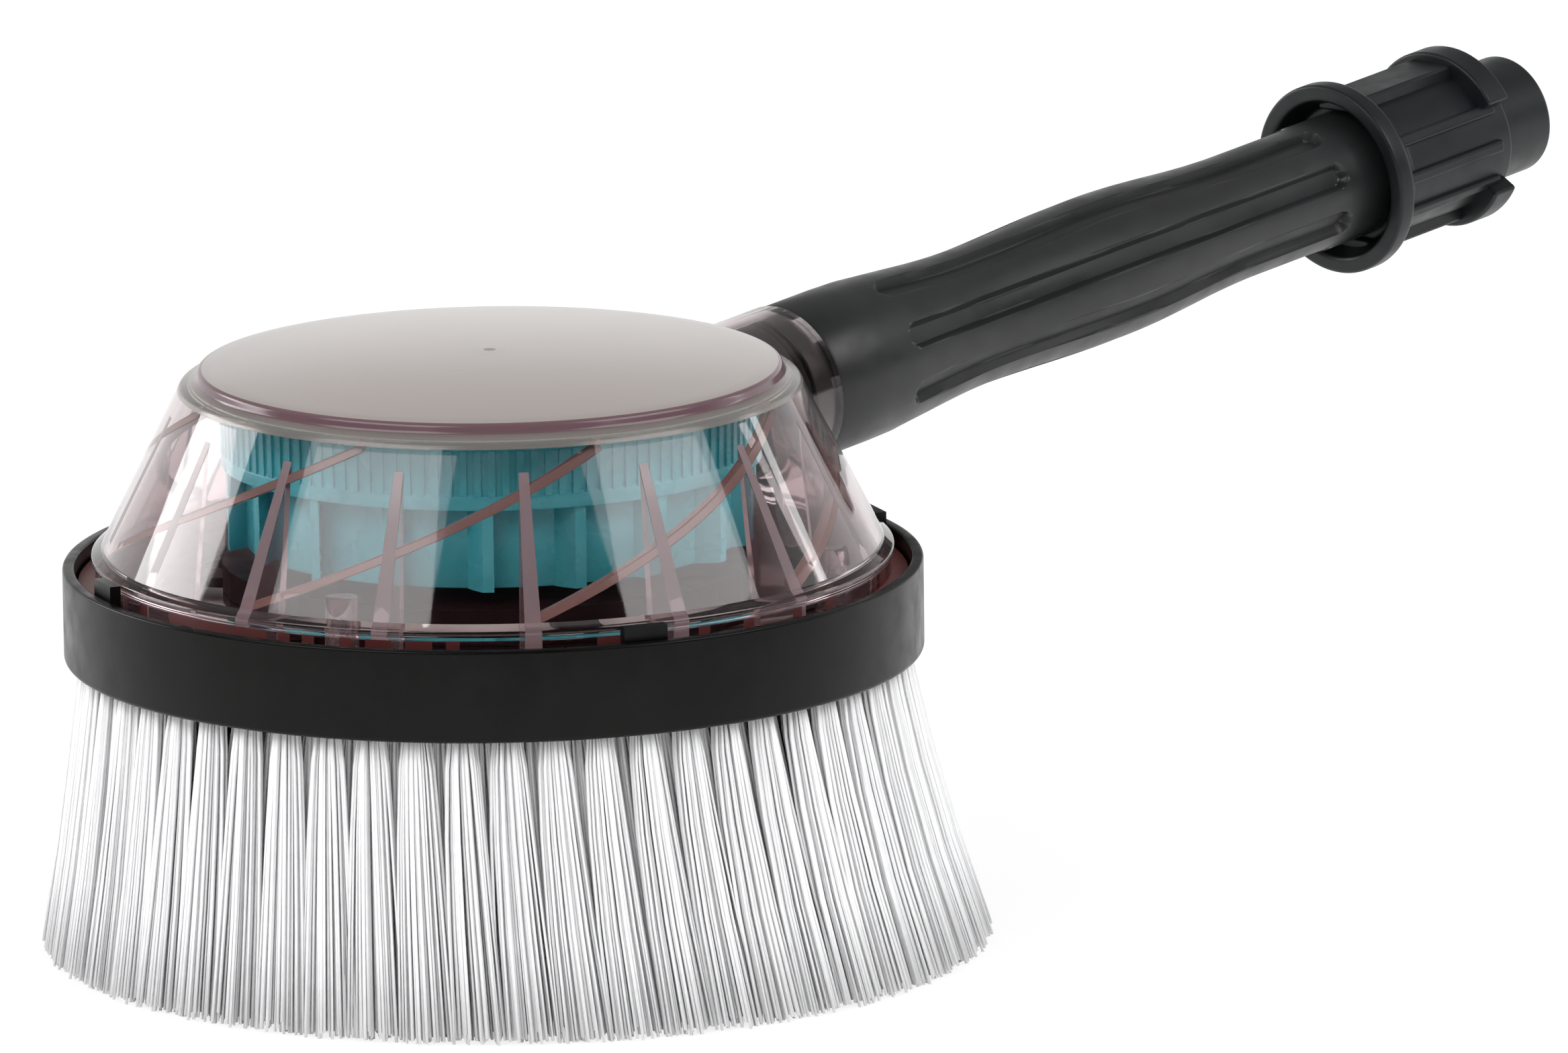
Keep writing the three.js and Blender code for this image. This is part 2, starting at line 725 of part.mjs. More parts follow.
// A screw that points up, from the underside of its head
function screw(radiusOfCircle, degrees, headTop, shankTop) {
  const stock = revolveGeometry([
    [0, headTop - screwHeadHeight],
    [screwHeadRadius, headTop - screwHeadHeight],
    [screwHeadRadius, headTop],
    [screwShankRadius, headTop],
    [screwShankRadius, shankTop],
    [0, shankTop],
  ], screwSides);
  const [x, y] = polar(radiusOfCircle, THREE.MathUtils.degToRad(degrees));
  return solid(stock.translate(x, y, 0));
}

// Fixed floor of the turbine chamber: an outer and an inner ring, joined by spokes
function gearCarrier() {
  const ring = tube(carrierRingInside, footRadius, carrierBottom, carrierTop, roundSides);
  const seat = tube(carrierSeatInside, drumRadius, carrierBottom, carrierTop, roundSides);
  const spoke = boxGeometry(
    [(carrierSeatInside + drumRadius) / 2, -spokeWidth / 2, carrierBottom],
    [(carrierRingInside + coverScrewCircle) / 2, spokeWidth / 2, carrierTop]);
  const screwHole = cylinderGeometry(
    screwShankRadius + seatGap, carrierBottom - overrun, carrierTop + overrun,
    screwSides, coverScrewCircle);
  return cut(
    join(ring, seat, ...around(spoke, evenAngles(carrierSpokes))),
    ...around(screwHole, evenAngles(coverScrews, coverScrewFirstDegrees)),
    ...clipNotches(ledgeTop, footBottom),
  );
}

// Drum on the carrier, whose disc holds the planets' pins
function chamberDrum() {
  const inside = drumRadius - drumWall;
  const foot = carrierTop + seatGap;
  const bushHole = pinionSleeveRadius + axleRunningGap + bushWall + seatGap;
  const drum = revolve([
    [0, drumUnderside],
    [inside, drumUnderside],
    [inside, foot],
    [drumRadius, foot],
    [drumRadius, drumTop],
    [0, drumTop],
  ]);
  const pinPlaces = planetAngles.map((degrees) => polar(planetCircle, THREE.MathUtils.degToRad(degrees)));
  const bosses = pinPlaces.map(([x, y]) =>
    cylinder(planetBossRadius, gearTop + seatGap, drumTop - drumDiscThickness / 2, screwSides, x, y));
  const pinHoles = pinPlaces.map(([x, y]) =>
    cylinder(planetPinRadius + seatGap / 2, bristleDrop, planetPinTop + seatGap, smallSides, x, y));
  return cut(
    join(drum, ...bosses),
    cylinder(bushHole, drumUnderside - overrun, drumTop + overrun, gripSides),
    ...pinHoles,
  );
}

// Plate that carries the bristles and the ring gear
function brushPlate() {
  const radius = skirtInside - plateRunningGap;
  const bushHole = axleHole + bushWall + seatGap;
  const plate = cylinder(radius, plateBottom, plateTop, roundSides);
  const hub = cylinder(plateHubRadius, plateBottom, plateHubTop, gripSides);
  const middleHole = cylinder(bushHole, plateBottom, plateHubTop + overrun);
  const nutRecess = cylinder(
    washerRadius + nutRecessGap, plateBottom - overrun, plateBottom + nutRecessDepth, gripSides);
  const waterHole = cylinderGeometry(
    waterHoleRadius, plateBottom - overrun, plateTop + overrun, screwSides, waterHoleCircle);
  const screwHole = cylinderGeometry(
    screwShankRadius + seatGap, plateBottom - overrun, plateTop + overrun, screwSides, ringScrewCircle);
  const counterbore = cylinderGeometry(
    screwHeadRadius + seatGap, plateBottom - overrun, plateBottom + screwHeadHeight + seatGap,
    screwSides, ringScrewCircle);
  const screwAngles = evenAngles(ringScrews, ringScrewFirstDegrees);
  return cut(
    join(plate, hub),
    middleHole,
    nutRecess,
    ...around(waterHole, evenAngles(waterHoles, 180 / waterHoles)),
    ...around(screwHole, screwAngles),
    ...around(counterbore, screwAngles),
  );
}

// A bush for a shaft, with a flange at its upper end
function flangedBush(boreRadius, bottom, top, sides = smallSides) {
  const outer = boreRadius + bushWall;
  const flange = outer + bushFlangeReach;
  const flangeBottom = top - bushFlangeThickness;
  return revolve([
    [boreRadius, bottom],
    [outer, bottom],
    [outer, flangeBottom],
    [flange, flangeBottom],
    [flange, top],
    [boreRadius, top],
  ], sides);
}

// A swept blade of the turbine, between the inner drum and the tips
function bladeGeometry() {
  const steps = 3;
  const start = turbineDrumRadius - turbineWall / 2;
  const end = turbineRadius - bladeTipInset;
  const side = (offset) => Array.from({ length: steps + 1 }, (_, k) => {
    const angle = THREE.MathUtils.degToRad((bladeSweepDegrees * k) / steps);
    const [x, y] = polar(start + ((end - start) * k) / steps, angle);
    const [dx, dy] = polar(offset, angle + Math.PI / 2);
    return [x + dx, y + dy];
  });
  const outline = [...side(-bladeThickness / 2), ...side(bladeThickness / 2).reverse()];
  return prismGeometry(outline, wheelBottom, webHeight - turbineWebThickness / 2);
}

// Turbine wheel: a hub, a web, blades round an inner drum below the web, and a band above it
function turbineWheel() {
  const hubBore = axleHole + bushWall + seatGap;
  const webBottom = webHeight - turbineWebThickness;
  const webRadius = turbineRadius - turbineWall / 2;
  const hub = revolve([
    [hubBore, turbineHubBottom],
    [turbineHubRadius, turbineHubBottom],
    [turbineHubRadius, webBottom],
    [webRadius, webBottom],
    [webRadius, webHeight],
    [turbineHubRadius, webHeight],
    [turbineHubRadius, turbineHubTop],
    [hubBore, turbineHubTop],
  ], gripSides);
  const drum = tube(
    turbineDrumRadius - turbineWall, turbineDrumRadius, wheelBottom, wheelTop, gripSides);
  const band = tube(turbineRadius - turbineWall, turbineRadius, webBottom, wheelTop, roundSides);
  return join(hub, drum, band, ...around(bladeGeometry(), evenAngles(turbineBlades)));
}

// Plain bush between the turbine's hub and the axle, its flange on top of the hub
function turbineBush() {
  const top = turbineHubTop + seatGap + bushFlangeThickness;
  return flangedBush(axleHole, turbineHubBottom, top);
}

// Bush in the carrier, in which the pinion's sleeve turns
function carrierBush() {
  return flangedBush(pinionSleeveRadius + axleRunningGap, drumUnderside, bushFlangeTop, gripSides);
}

// Bush in the middle of the brush plate, on the axle
function brushBush() {
  const top = plateHubTop + seatGap + bushFlangeThickness;
  return flangedBush(axleHole, plateBottom + nutRecessDepth, top);
}

// Steel axle, moulded into the boss under the dome; the nut at its foot holds the brush up
function axle() {
  return cylinder(axleRadius, axleBottom, axleTop);
}

function axleWasher() {
  return tube(axleRadius + seatGap / 2, washerRadius, washerBottom, washerTop);
}

function axleNut() {
  const bottom = washerBottom - seatGap - nutThickness;
  const blank = cylinder(nutAcrossCorners / 2, bottom, bottom + nutThickness, 6);
  return cut(blank, cylinder(axleRadius + seatGap / 2, bottom - overrun, bottom + nutThickness + overrun));
}

// One quarter of the bristles on its slice of backing
function bristleSector(middleDegrees) {
  const middle = THREE.MathUtils.degToRad(middleDegrees);
  const quarter = Math.PI / 4;
  const innermost = bristleRootRadius * (1 - rowShrinkShare) ** (bristleRows - 1);
  const arc = (radius) => {
    const steps = 6;
    const half = quarter - seatGap / 2 / radius;
    return Array.from({ length: steps + 1 }, (_, k) => polar(radius, middle + half * ((2 * k) / steps - 1)));
  };
  const outline = [...arc(innermost - backingMargin), ...arc(bristleRootRadius + backingMargin).reverse()];
  const backing = prism(outline, backingBottom, backingBottom + backingThickness);
  const tufts = [];
  for (let row = 0; row < bristleRows; row += 1) {
    const radius = bristleRootRadius * (1 - rowShrinkShare) ** row;
    const stagger = row % 2 === 0 ? -rowStaggerShare : rowStaggerShare;
    for (let k = 0; k < tuftsPerRow / 4; k += 1) {
      const turn = ((k + 0.5 + stagger) / tuftsPerRow) * 2 * Math.PI;
      tufts.push(tuftGeometry(radius, middle - quarter + turn));
    }
  }
  const reach = 2 * skirtRadius;
  const floor = solid(boxGeometry([-reach, -reach, -bristleTrim - overrun], [reach, reach, 0]));
  return cut(join(backing, solid(gather(tufts))), floor);
}

// A tuft with three sides, one of them facing outwards, from the backing to below the flat cut
function tuftGeometry(radius, angle) {
  const lean = THREE.MathUtils.degToRad(bristleLeanDegrees);
  const [leanX, leanY] = polar(bristleLean, lean);
  const ring = (height, growth, shift) => {
    const [x, y] = polar(radius * growth, angle);
    const corner = (radius * growth * tuftWidthShare) / Math.sqrt(3);
    return [0, 1, 2].map((k) => {
      const [dx, dy] = polar(corner, angle + Math.PI + (k * 2 * Math.PI) / 3);
      return [x + dx + leanX * shift, y + dy + leanY * shift, height];
    });
  };
  const root = ring(backingBottom + backingThickness / 2, 1, 0);
  const tip = ring(-bristleTrim, 1 + bristleFlareShare, 1);
  return loft([tip, root]);
}

// Handle, coupling, nozzle and seals, all in the handle's own frame

// Stations and radii of the handle's outline: base, waist, swell and tail
const handleStations = [
  [0, handleBaseRadius],
  [handleBaseLength, handleBaseRadius],
  [handleLength * handleWaistShare, handleWaistRadius],
  [handleLength * handleSwellShare, handleSwellRadius],
  [handleLength * handleTailShare, handleTailRadius],
  [handleLength, handleTailRadius],
];

// Radius of the handle's outside at a station, eased from one named station to the next
function handleRadius(station) {
  const next = Math.max(1, handleStations.findIndex(([at]) => at >= station));
  const [start, startRadius] = handleStations[next - 1];
  const [end, endRadius] = handleStations[next];
  const ease = (1 - Math.cos((Math.PI * (station - start)) / (end - start))) / 2;
  return startRadius + (endRadius - startRadius) * ease;
}

// Section across the handle, with its flutes cut to a depth and to a share of their width
function handleRing(station, depth, widthShare) {
  const radius = handleRadius(station);
  const edge = Math.asin((fluteWidth * widthShare) / 2 / radius);
  const floorEdge = edge * fluteFloorShare;
  return evenAngles(flutes, 180 / flutes).flatMap((degrees) => {
    const middle = THREE.MathUtils.degToRad(degrees);
    return [
      [radius, -edge], [radius - depth, -floorEdge], [radius - depth, floorEdge], [radius, edge],
    ].map(([reach, turn]) => [...polar(reach, middle + turn), station]);
  });
}

// Outside of the handle between its two spigots, with the round ends of the flutes
function handleBody() {
  const endStep = fluteWidth / 2;
  const wallStep = fluteDepth / 4;
  const along = (from, to, steps) =>
    Array.from({ length: steps - 1 }, (_, k) => from + ((to - from) * (k + 1)) / steps);
  const fluted = handleStations.slice(1).flatMap(([end], k) => [
    ...along(handleStations[k][0], end, 2), end,
  ]).filter((station) => station > fluteStart + fluteWidth && station < fluteEnd - fluteWidth);
  return solid(loft([
    handleRing(seatGap, 0, endShare),
    handleRing(handleBaseLength, 0, endShare),
    handleRing(fluteStart, 0, endShare),
    handleRing(fluteStart + wallStep, fluteDepth, endShare),
    handleRing(fluteStart + endStep, fluteDepth, 1),
    ...fluted.map((station) => handleRing(station, fluteDepth, 1)),
    handleRing(fluteEnd - endStep, fluteDepth, 1),
    handleRing(fluteEnd - wallStep, fluteDepth, endShare),
    handleRing(fluteEnd, 0, endShare),
    handleRing(handleLength, 0, endShare),
  ]));
}

// Groove for a sealing ring round a spigot
function sealGroove(spigotRadius, station) {
  const half = sealGrooveWidth / 2;
  return tube(
    spigotRadius - sealGrooveDepth, spigotRadius + overrun, station - half, station + half, gripSides);
}

function sealRing(spigotRadius, station) {
  const ringRadius = spigotRadius - sealGrooveDepth + seatGap / 2 + sealSection;
  const steps = 4;
  const section = Array.from({ length: steps }, (_, k) => {
    const angle = (k * 2 * Math.PI) / steps;
    return [ringRadius + sealSection * Math.cos(angle), station + sealSection * Math.sin(angle)];
  });
  return revolve(section, gripSides);
}

function handle() {
  const spigotRadius = neckBoreRadius - spigotGap;
  const tailEnd = handleLength + tailSpigotLength;
  return cut(
    join(
      handleBody(),
      cylinder(spigotRadius, -spigotLength, handleBaseLength, gripSides),
      cylinder(tailSpigotRadius, fluteEnd, tailEnd, gripSides),
    ),
    cylinder(handleBoreRadius, -spigotLength - overrun, tailEnd + overrun, smallSides),
    sealGroove(spigotRadius, -spigotLength / 2),
    sealGroove(tailSpigotRadius, tailEnd - sealGrooveWidth),
    ...couplingPins(couplingPinRadius + seatGap, couplingBodyRadius),
  );
}

// The two pins that lock the coupling on the handle's tail, one on each side of the bore
function couplingPins(radius, reach) {
  const station = handleLength + couplingPinStation;
  const half = Math.sqrt(reach * reach - couplingPinOffset * couplingPinOffset);
  return [-couplingPinOffset, couplingPinOffset].map((offset) => {
    const pin = new THREE.CylinderGeometry(radius, radius, 2 * half, screwSides);
    return solid(pin.rotateZ(Math.PI / 2).translate(0, offset, station));
  });
}

// Nozzle seated in the neck: a wide mouth that narrows to a jet beside the axis
function jetNozzle() {
  const back = -spigotLength - seatGap;
  const front = back - nozzleFlangeThickness;
  const snoutEnd = front - nozzleSnoutLength;
  const flange = cylinder(neckBoreRadius - spigotGap, front, back, gripSides);
  const snout = cylinder(nozzleSnoutRadius, snoutEnd, back - seatGap, smallSides, 0, nozzleOffset);
  const funnel = new THREE.CylinderGeometry(
    nozzleSnoutRadius + nozzleMouthFlare, jetRadius, nozzleFlangeThickness + overrun, smallSides);
  funnel.rotateX(Math.PI / 2).translate(0, nozzleOffset, (front + back + overrun) / 2);
  const jet = cylinder(jetRadius, snoutEnd - overrun, back, screwSides, 0, nozzleOffset);
  return cut(join(flange, snout), solid(funnel), jet);
}

// A block that spans part of the circle between two radii
function arcBlock(inner, outer, bottom, top, middleDegrees, spanDegrees) {
  const steps = 6;
  const arc = (radius) => Array.from({ length: steps + 1 }, (_, k) => {
    const degrees = middleDegrees + spanDegrees * (k / steps - 0.5);
    return polar(radius, THREE.MathUtils.degToRad(degrees));
  });
  return prism([...arc(inner), ...arc(outer).reverse()], bottom, top);
}

// Bayonet coupling: bell-mouthed flange, ribbed body, two lugs and the tip that enters the lance
function coupling() {
  const mouth = couplingMouth;
  const flangeEnd = mouth + flangeWidth;
  const bodyStart = flangeEnd + flangeTaper;
  const socketEnd = handleLength + tailSpigotLength + seatGap;
  const bodyEnd = couplingTip - couplingTipLength;
  const tipRadius = couplingBodyRadius - couplingTipStep;
  const rounding = couplingTipRounding;
  const body = revolve([
    [0, mouth],
    [flangeRadius - flangeWidth / 4, mouth],
    [flangeRadius, mouth + flangeWidth / 4],
    [flangeRadius, flangeEnd],
    [(flangeRadius + couplingBodyRadius) / 2, flangeEnd + flangeTaper / 3],
    [couplingBodyRadius, bodyStart],
    [couplingBodyRadius, bodyEnd - rounding],
    [couplingBodyRadius - rounding, bodyEnd],
    [tipRadius, bodyEnd],
    [tipRadius, couplingTip - rounding],
    [tipRadius - rounding, couplingTip],
    [0, couplingTip],
  ], gripSides);
  const hollow = revolve([
    [0, mouth - overrun],
    [mouthRadius, mouth - overrun],
    [mouthRadius, mouth],
    [mouthRadius - mouthTaper, mouth + mouthDepth],
    [tailSpigotRadius + seatGap, mouth + mouthDepth],
    [tailSpigotRadius + seatGap, socketEnd],
    [couplingBoreRadius, socketEnd],
    [couplingBoreRadius, couplingTip + overrun],
    [0, couplingTip + overrun],
  ], gripSides);
  const inside = couplingBodyRadius - rounding;
  const lugRadius = couplingBodyRadius + lugRise;
  const lugs = [0, 180].map((degrees) =>
    arcBlock(inside, lugRadius, bodyEnd - lugWidth, bodyEnd - rounding / 2, degrees, lugSpanDegrees));
  const keys = [0, 180].map((degrees) => {
    const key = boxGeometry(
      [inside, -keyWidth / 2, flangeEnd],
      [couplingBodyRadius + keyRise, keyWidth / 2, bodyEnd - lugWidth / 2]);
    return around(key, [degrees])[0];
  });
  const bar = boxGeometry(
    [inside, -barWidth / 2, flangeEnd], [couplingBodyRadius + barRise, barWidth / 2, bodyEnd - lugWidth / 2]);
  return cut(
    join(body, ...lugs, ...keys, ...around(bar, barDegrees)),
    hollow,
    ...couplingPins(couplingPinRadius + seatGap, 2 * couplingBodyRadius),
  );
}

addPart('skirt_ring', skirtRing(), materials.blackPlastic);
addPart('cover_shell', coverShell(), materials.clearPlastic);
coverClips().forEach((clip, k) => addPart(`cover_clip_${k + 1}`, clip, materials.blackPlastic));
addPart('gear_carrier', gearCarrier(), materials.blackPlastic);
addPart('chamber_drum', chamberDrum(), materials.blackPlastic);
evenAngles(coverScrews, coverScrewFirstDegrees).forEach((degrees, k) => {
  const headTop = carrierBottom - seatGap;
  const body = screw(coverScrewCircle, degrees, headTop, headTop + screwLength);
  addPart(`cover_screw_${k + 1}`, body, materials.steel);
});

addPart('axle', axle(), materials.steel);
addPart('axle_washer', axleWasher(), materials.steel);
addPart('axle_nut', axleNut(), materials.steel);
addPart('carrier_bush', carrierBush(), materials.bronze);
planetAngles.forEach((degrees, k) => {
  addPart(`planet_pin_${k + 1}`, planetPin(degrees), materials.steel);
  addPart(`planet_gear_${k + 1}`, planetGear(degrees), materials.whiteNylon);
});

addPart('turbine_wheel', turbineWheel(), materials.tealPlastic);
addPart('turbine_bush', turbineBush(), materials.bronze);
addPart('drive_pinion', drivePinion(), materials.whiteNylon);

addPart('brush_plate', brushPlate(), materials.whiteNylon);
addPart('brush_bush', brushBush(), materials.bronze);
addPart('ring_gear', ringGear(), materials.whiteNylon);
evenAngles(ringScrews, ringScrewFirstDegrees).forEach((degrees, k) => {
  const headTop = plateBottom + screwHeadHeight;
  addPart(`ring_screw_${k + 1}`, screw(ringScrewCircle, degrees, headTop, ringScrewTop), materials.steel);
});
['east', 'north', 'west', 'south'].forEach((side, k) => {
  addPart(`bristles_${side}`, bristleSector(k * 90), materials.paleBristle);
});

addPart('handle_tube', handle(), materials.blackPlastic, handleFrame);
addPart('neck_seal', sealRing(neckBoreRadius - spigotGap, -spigotLength / 2), materials.rubber, handleFrame);
addPart('jet_nozzle', jetNozzle(), materials.softBlack, handleFrame);
addPart('coupling', coupling(), materials.softBlack, handleFrame);
const tailSealStation = handleLength + tailSpigotLength - sealGrooveWidth;
addPart('coupling_seal', sealRing(tailSpigotRadius, tailSealStation), materials.rubber, handleFrame);
couplingPins(couplingPinRadius, couplingBodyRadius - couplingPinRecess).forEach((pin, k) => {
  addPart(`coupling_pin_${k + 1}`, pin, materials.steel, handleFrame);
});

// The origin is under the middle of the whole object, on the floor.
const bounds = new THREE.Box3().setFromObject(root);
const middle = bounds.getCenter(new THREE.Vector3());
root.position.set(-middle.x, -middle.y, 0);

export default root;
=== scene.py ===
"""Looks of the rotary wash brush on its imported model. Sizes are in millimetres until a mesh is made."""

import json
import math
import random

import bmesh
import bpy
from mathutils import Matrix, Vector


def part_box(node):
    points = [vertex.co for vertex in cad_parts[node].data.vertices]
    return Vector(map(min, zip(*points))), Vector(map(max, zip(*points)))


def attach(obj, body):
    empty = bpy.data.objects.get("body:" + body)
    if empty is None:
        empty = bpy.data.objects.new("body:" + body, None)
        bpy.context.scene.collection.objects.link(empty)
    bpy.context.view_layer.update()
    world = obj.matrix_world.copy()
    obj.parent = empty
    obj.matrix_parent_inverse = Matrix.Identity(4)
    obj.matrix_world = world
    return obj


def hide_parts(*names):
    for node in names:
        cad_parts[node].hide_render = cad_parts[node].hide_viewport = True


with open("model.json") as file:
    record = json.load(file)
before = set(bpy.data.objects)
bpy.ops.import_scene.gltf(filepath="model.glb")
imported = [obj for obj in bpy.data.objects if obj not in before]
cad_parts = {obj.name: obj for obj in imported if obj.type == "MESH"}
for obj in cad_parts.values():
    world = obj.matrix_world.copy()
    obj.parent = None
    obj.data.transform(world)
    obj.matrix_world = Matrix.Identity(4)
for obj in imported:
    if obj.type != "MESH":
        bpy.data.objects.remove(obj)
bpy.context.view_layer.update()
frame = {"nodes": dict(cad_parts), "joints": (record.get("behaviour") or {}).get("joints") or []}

MM = 0.001
JOINT_PLACES = {joint["name"]: Vector(joint["pos_m"]) for joint in frame["joints"]}
SPINDLE = Vector((JOINT_PLACES["brush_spin"].x, JOINT_PLACES["brush_spin"].y, 0))
AT_SPINDLE = Matrix.Translation(SPINDLE) @ Matrix.Scale(MM, 4)

# Shared by several pieces
SEAT_GAP = 0.3  # between a piece and the one that it seats on
OVERRUN = 1  # of a cutting tool past what it cuts
WELD_DISTANCE = 0.002
CORNER_SHARE = 0.45  # of a side that the rounding of one of its corners may take up
CREASE_DEGREES = 35
BEVEL_LIMIT_DEGREES = 40
BEVEL_SEGMENTS = 3
FINE_SEGMENTS = 160  # round a large turned body
SMALL_SEGMENTS = 96
NOISE_LOW = 0.3  # about the range that noise fills
NOISE_HIGH = 0.7

# Skirt
skirt_low, skirt_high = (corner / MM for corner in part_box("skirt_ring"))
SKIRT_RADIUS = (skirt_high.x - skirt_low.x) / 2
SKIRT_BOTTOM = skirt_low.z
SKIRT_TOP = skirt_high.z
SKIRT_WALL = 2.4
SKIRT_INSIDE = SKIRT_RADIUS - SKIRT_WALL
LEDGE_REACH = 4
LEDGE_THICKNESS = 2
SKIRT_FOOT_ROUNDING = 1.9
SKIRT_RIM_ROUNDING = 0.6
SKIRT_SEGMENTS = 220
CLIP_BEVEL = 0.4

# Ledge under the gear carrier
CARRIER_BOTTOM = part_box("gear_carrier")[0].z / MM
LEDGE_TOP = CARRIER_BOTTOM - SEAT_GAP

# Clear cover
FOOT_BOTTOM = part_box("cover_shell")[0].z / MM
FOOT_THICKNESS = 2
FOOT_TOP = FOOT_BOTTOM + FOOT_THICKNESS
FOOT_SIDE_GAP = 0.5
FOOT_RADIUS = SKIRT_INSIDE - FOOT_SIDE_GAP
DISC_EDGE_ABOVE_SKIRT = 38.2
DISC_EDGE = SKIRT_TOP + DISC_EDGE_ABOVE_SKIRT
DISC_RADIUS = 57.6
DISC_EDGE_RISE = 1
DOME_RISE = 4
DIMPLE_RADIUS = 1.3
DIMPLE_DEPTH = 0.5
DIMPLE_WAIST_SHARE = 0.5  # of its radius, where most of its depth is reached
DIMPLE_DEPTH_SHARE = 0.8
CONE_TOP_DROP = 2.2
CONE_TOP = DISC_EDGE - CONE_TOP_DROP
PAINTED_SHADE_RIM_WIDTH = 0.7  # of the edge of the disc, painted darker as the shade seen edge-on through thick clear plastic
SHOULDER_DROP = 1  # of the shoulder round the disc, below the top of the cone, which is painted paler as a highlight
CONE_TOP_RADIUS = 61.2
CONE_BASE_RADIUS = 79.2
CONE_SLOPE = (CONE_BASE_RADIUS - CONE_TOP_RADIUS) / (CONE_TOP - SKIRT_TOP)
COVER_WALL = 2.3
UPRIGHT_HEIGHT = 4.4
UPRIGHT_TOP = FOOT_TOP + UPRIGHT_HEIGHT
BEAD_REACH = 0.8
BEAD_HEIGHT = 2.4
COVER_ROUNDING = 0.7
COVER_FOOT_ROUNDING = 0.45
COVER_SEGMENTS = 180
COVER_CREASE_DEGREES = 28
RIB_BEVEL = 0.3
GUSSETS = 16
GUSSET_THICKNESS = 2
GUSSET_FOOT_THICKNESS = 3.6
GUSSET_INNER_RADIUS = 61.8
GUSSET_FOOT_RADIUS = 66.5
GUSSET_TOP_SLANT = 0.6
RIB_FIRST_DEGREES = 5.7
RIB_AIR = 0.08  # between a rib and the wall that it stiffens
BRACES = 8
BRACE_WIDTH = 1.9
BRACE_DEPTH = 2
BRACE_TURN_DEGREES = 60
SCREW_BOSSES = 4
SCREW_CIRCLE = 72.5
SCREW_FIRST_DEGREES = 21
SCREW_BOSS_RADIUS = 3.4
SCREW_BOSS_HEIGHT = 12
SCREW_HOLE_RADIUS = 1.7
SCREW_BOSS_TAPER = 0.3
SCREW_BOSS_INSET = 0.6
AXLE_BOSS_RADIUS = 6.4
AXLE_BOSS_DROP = 4.6
AXLE_BOSS_AIR = 0.1
AXLE_HOLE_RADIUS = 3.15

# Neck and handle, along the handle's axis
NECK_REACH = 83.05
NECK_HEIGHT = 98.04
NECK_TILT_DEGREES = 6.2
NECK_RADIUS = 16.5
NECK_BORE = 14.1
SPIGOT_LENGTH = 14
SOCKET_FLOOR_GAP = 4.4
NECK_SOCKET = SPIGOT_LENGTH + SOCKET_FLOOR_GAP
NECK_THROAT = 12.2
HANDLE_LENGTH = 168
HANDLE_BASE = 15
HANDLE_RADII = {"base": 16.2, "waist": 14.2, "swell": 15.2, "tail": 13.2}
HANDLE_SHARES = {"waist": 0.305, "swell": 0.533, "tail": 0.781}
SPIGOT_RADIUS = 13.85
SEAL_GROOVE = 2.8
SEAL_GROOVE_DEPTH = 1.9
HANDLE_BORE = 5.5
SPIGOT_ROOT = 2  # of the spigot inside the handle's body
SPIGOT_ROUNDING = 0.35
HANDLE_SIDES = 256
HANDLE_END_ROUNDING = 0.5
HANDLE_END_LENGTH = 1
HANDLE_END_MIDDLE = 0.35
HANDLE_CREASE_DEGREES = 38
FLUTES = 8
FLUTE_WIDTH = 5.6
FLUTE_DEPTH = 1.9
FLUTE_START = 22
FLUTE_END = 155
FLUTE_EDGE = 0.9
FLUTE_END_STEP = 0.45
FLUTE_END_STEPS = 18
FLUTE_RUN_START = 7
FLUTE_RUN_STEP = 2.5
FLUTE_RUN_STEPS = 49
COUPLING_MOUTH = 162.6
COUPLING_LENGTH = 54.9
TAIL_SPIGOT_LENGTH = 12
TAIL_SPIGOT_RADIUS = 10.8
TAIL_END = HANDLE_LENGTH + TAIL_SPIGOT_LENGTH
MOUTH_RADIUS = 16.7
MOUTH_NARROWING = 2
MOUTH_DEPTH = 6
MOUTH_LIP = 0.01
FLANGE_RADIUS = 20
FLANGE_LENGTH = 4.2
COUPLING_CONE_LENGTH = 5
COUPLING_CONE_RADIUS = 17.5
COUPLING_RADIUS = 15
COUPLING_TIP_LENGTH = 15
COUPLING_TIP_RADIUS = 12.3
COUPLING_TIP_STEP = 0.2
COUPLING_BORE = 4.5
COUPLING_ROUNDING = 0.9
COUPLING_SEGMENTS = 128
RELIEF_INNER_RADIUS = 13.4
LUG_RADIUS = 18.6
LUG_START = 7
LUG_END = 0.8
LUG_SPAN_DEGREES = 118
LUG_STEPS = 24
KEY_RADIUS = 16.6
KEY_HALF_WIDTH = 5.5
BAR_RADIUS = 16.1
BAR_HALF_WIDTH = 1.3
BAR_DEGREES = (60, 90, 120, 240, 270, 300)
BAR_END = 3.5
RELIEF_BEVEL = 0.7
TURN = Matrix.Rotation(math.pi / 2 - math.radians(NECK_TILT_DEGREES), 4, "Y")
NECK_END = Matrix.Translation(SPINDLE + Vector((NECK_REACH, 0, NECK_HEIGHT)) * MM)
AT_HANDLE = NECK_END @ TURN @ Matrix.Scale(MM, 4)

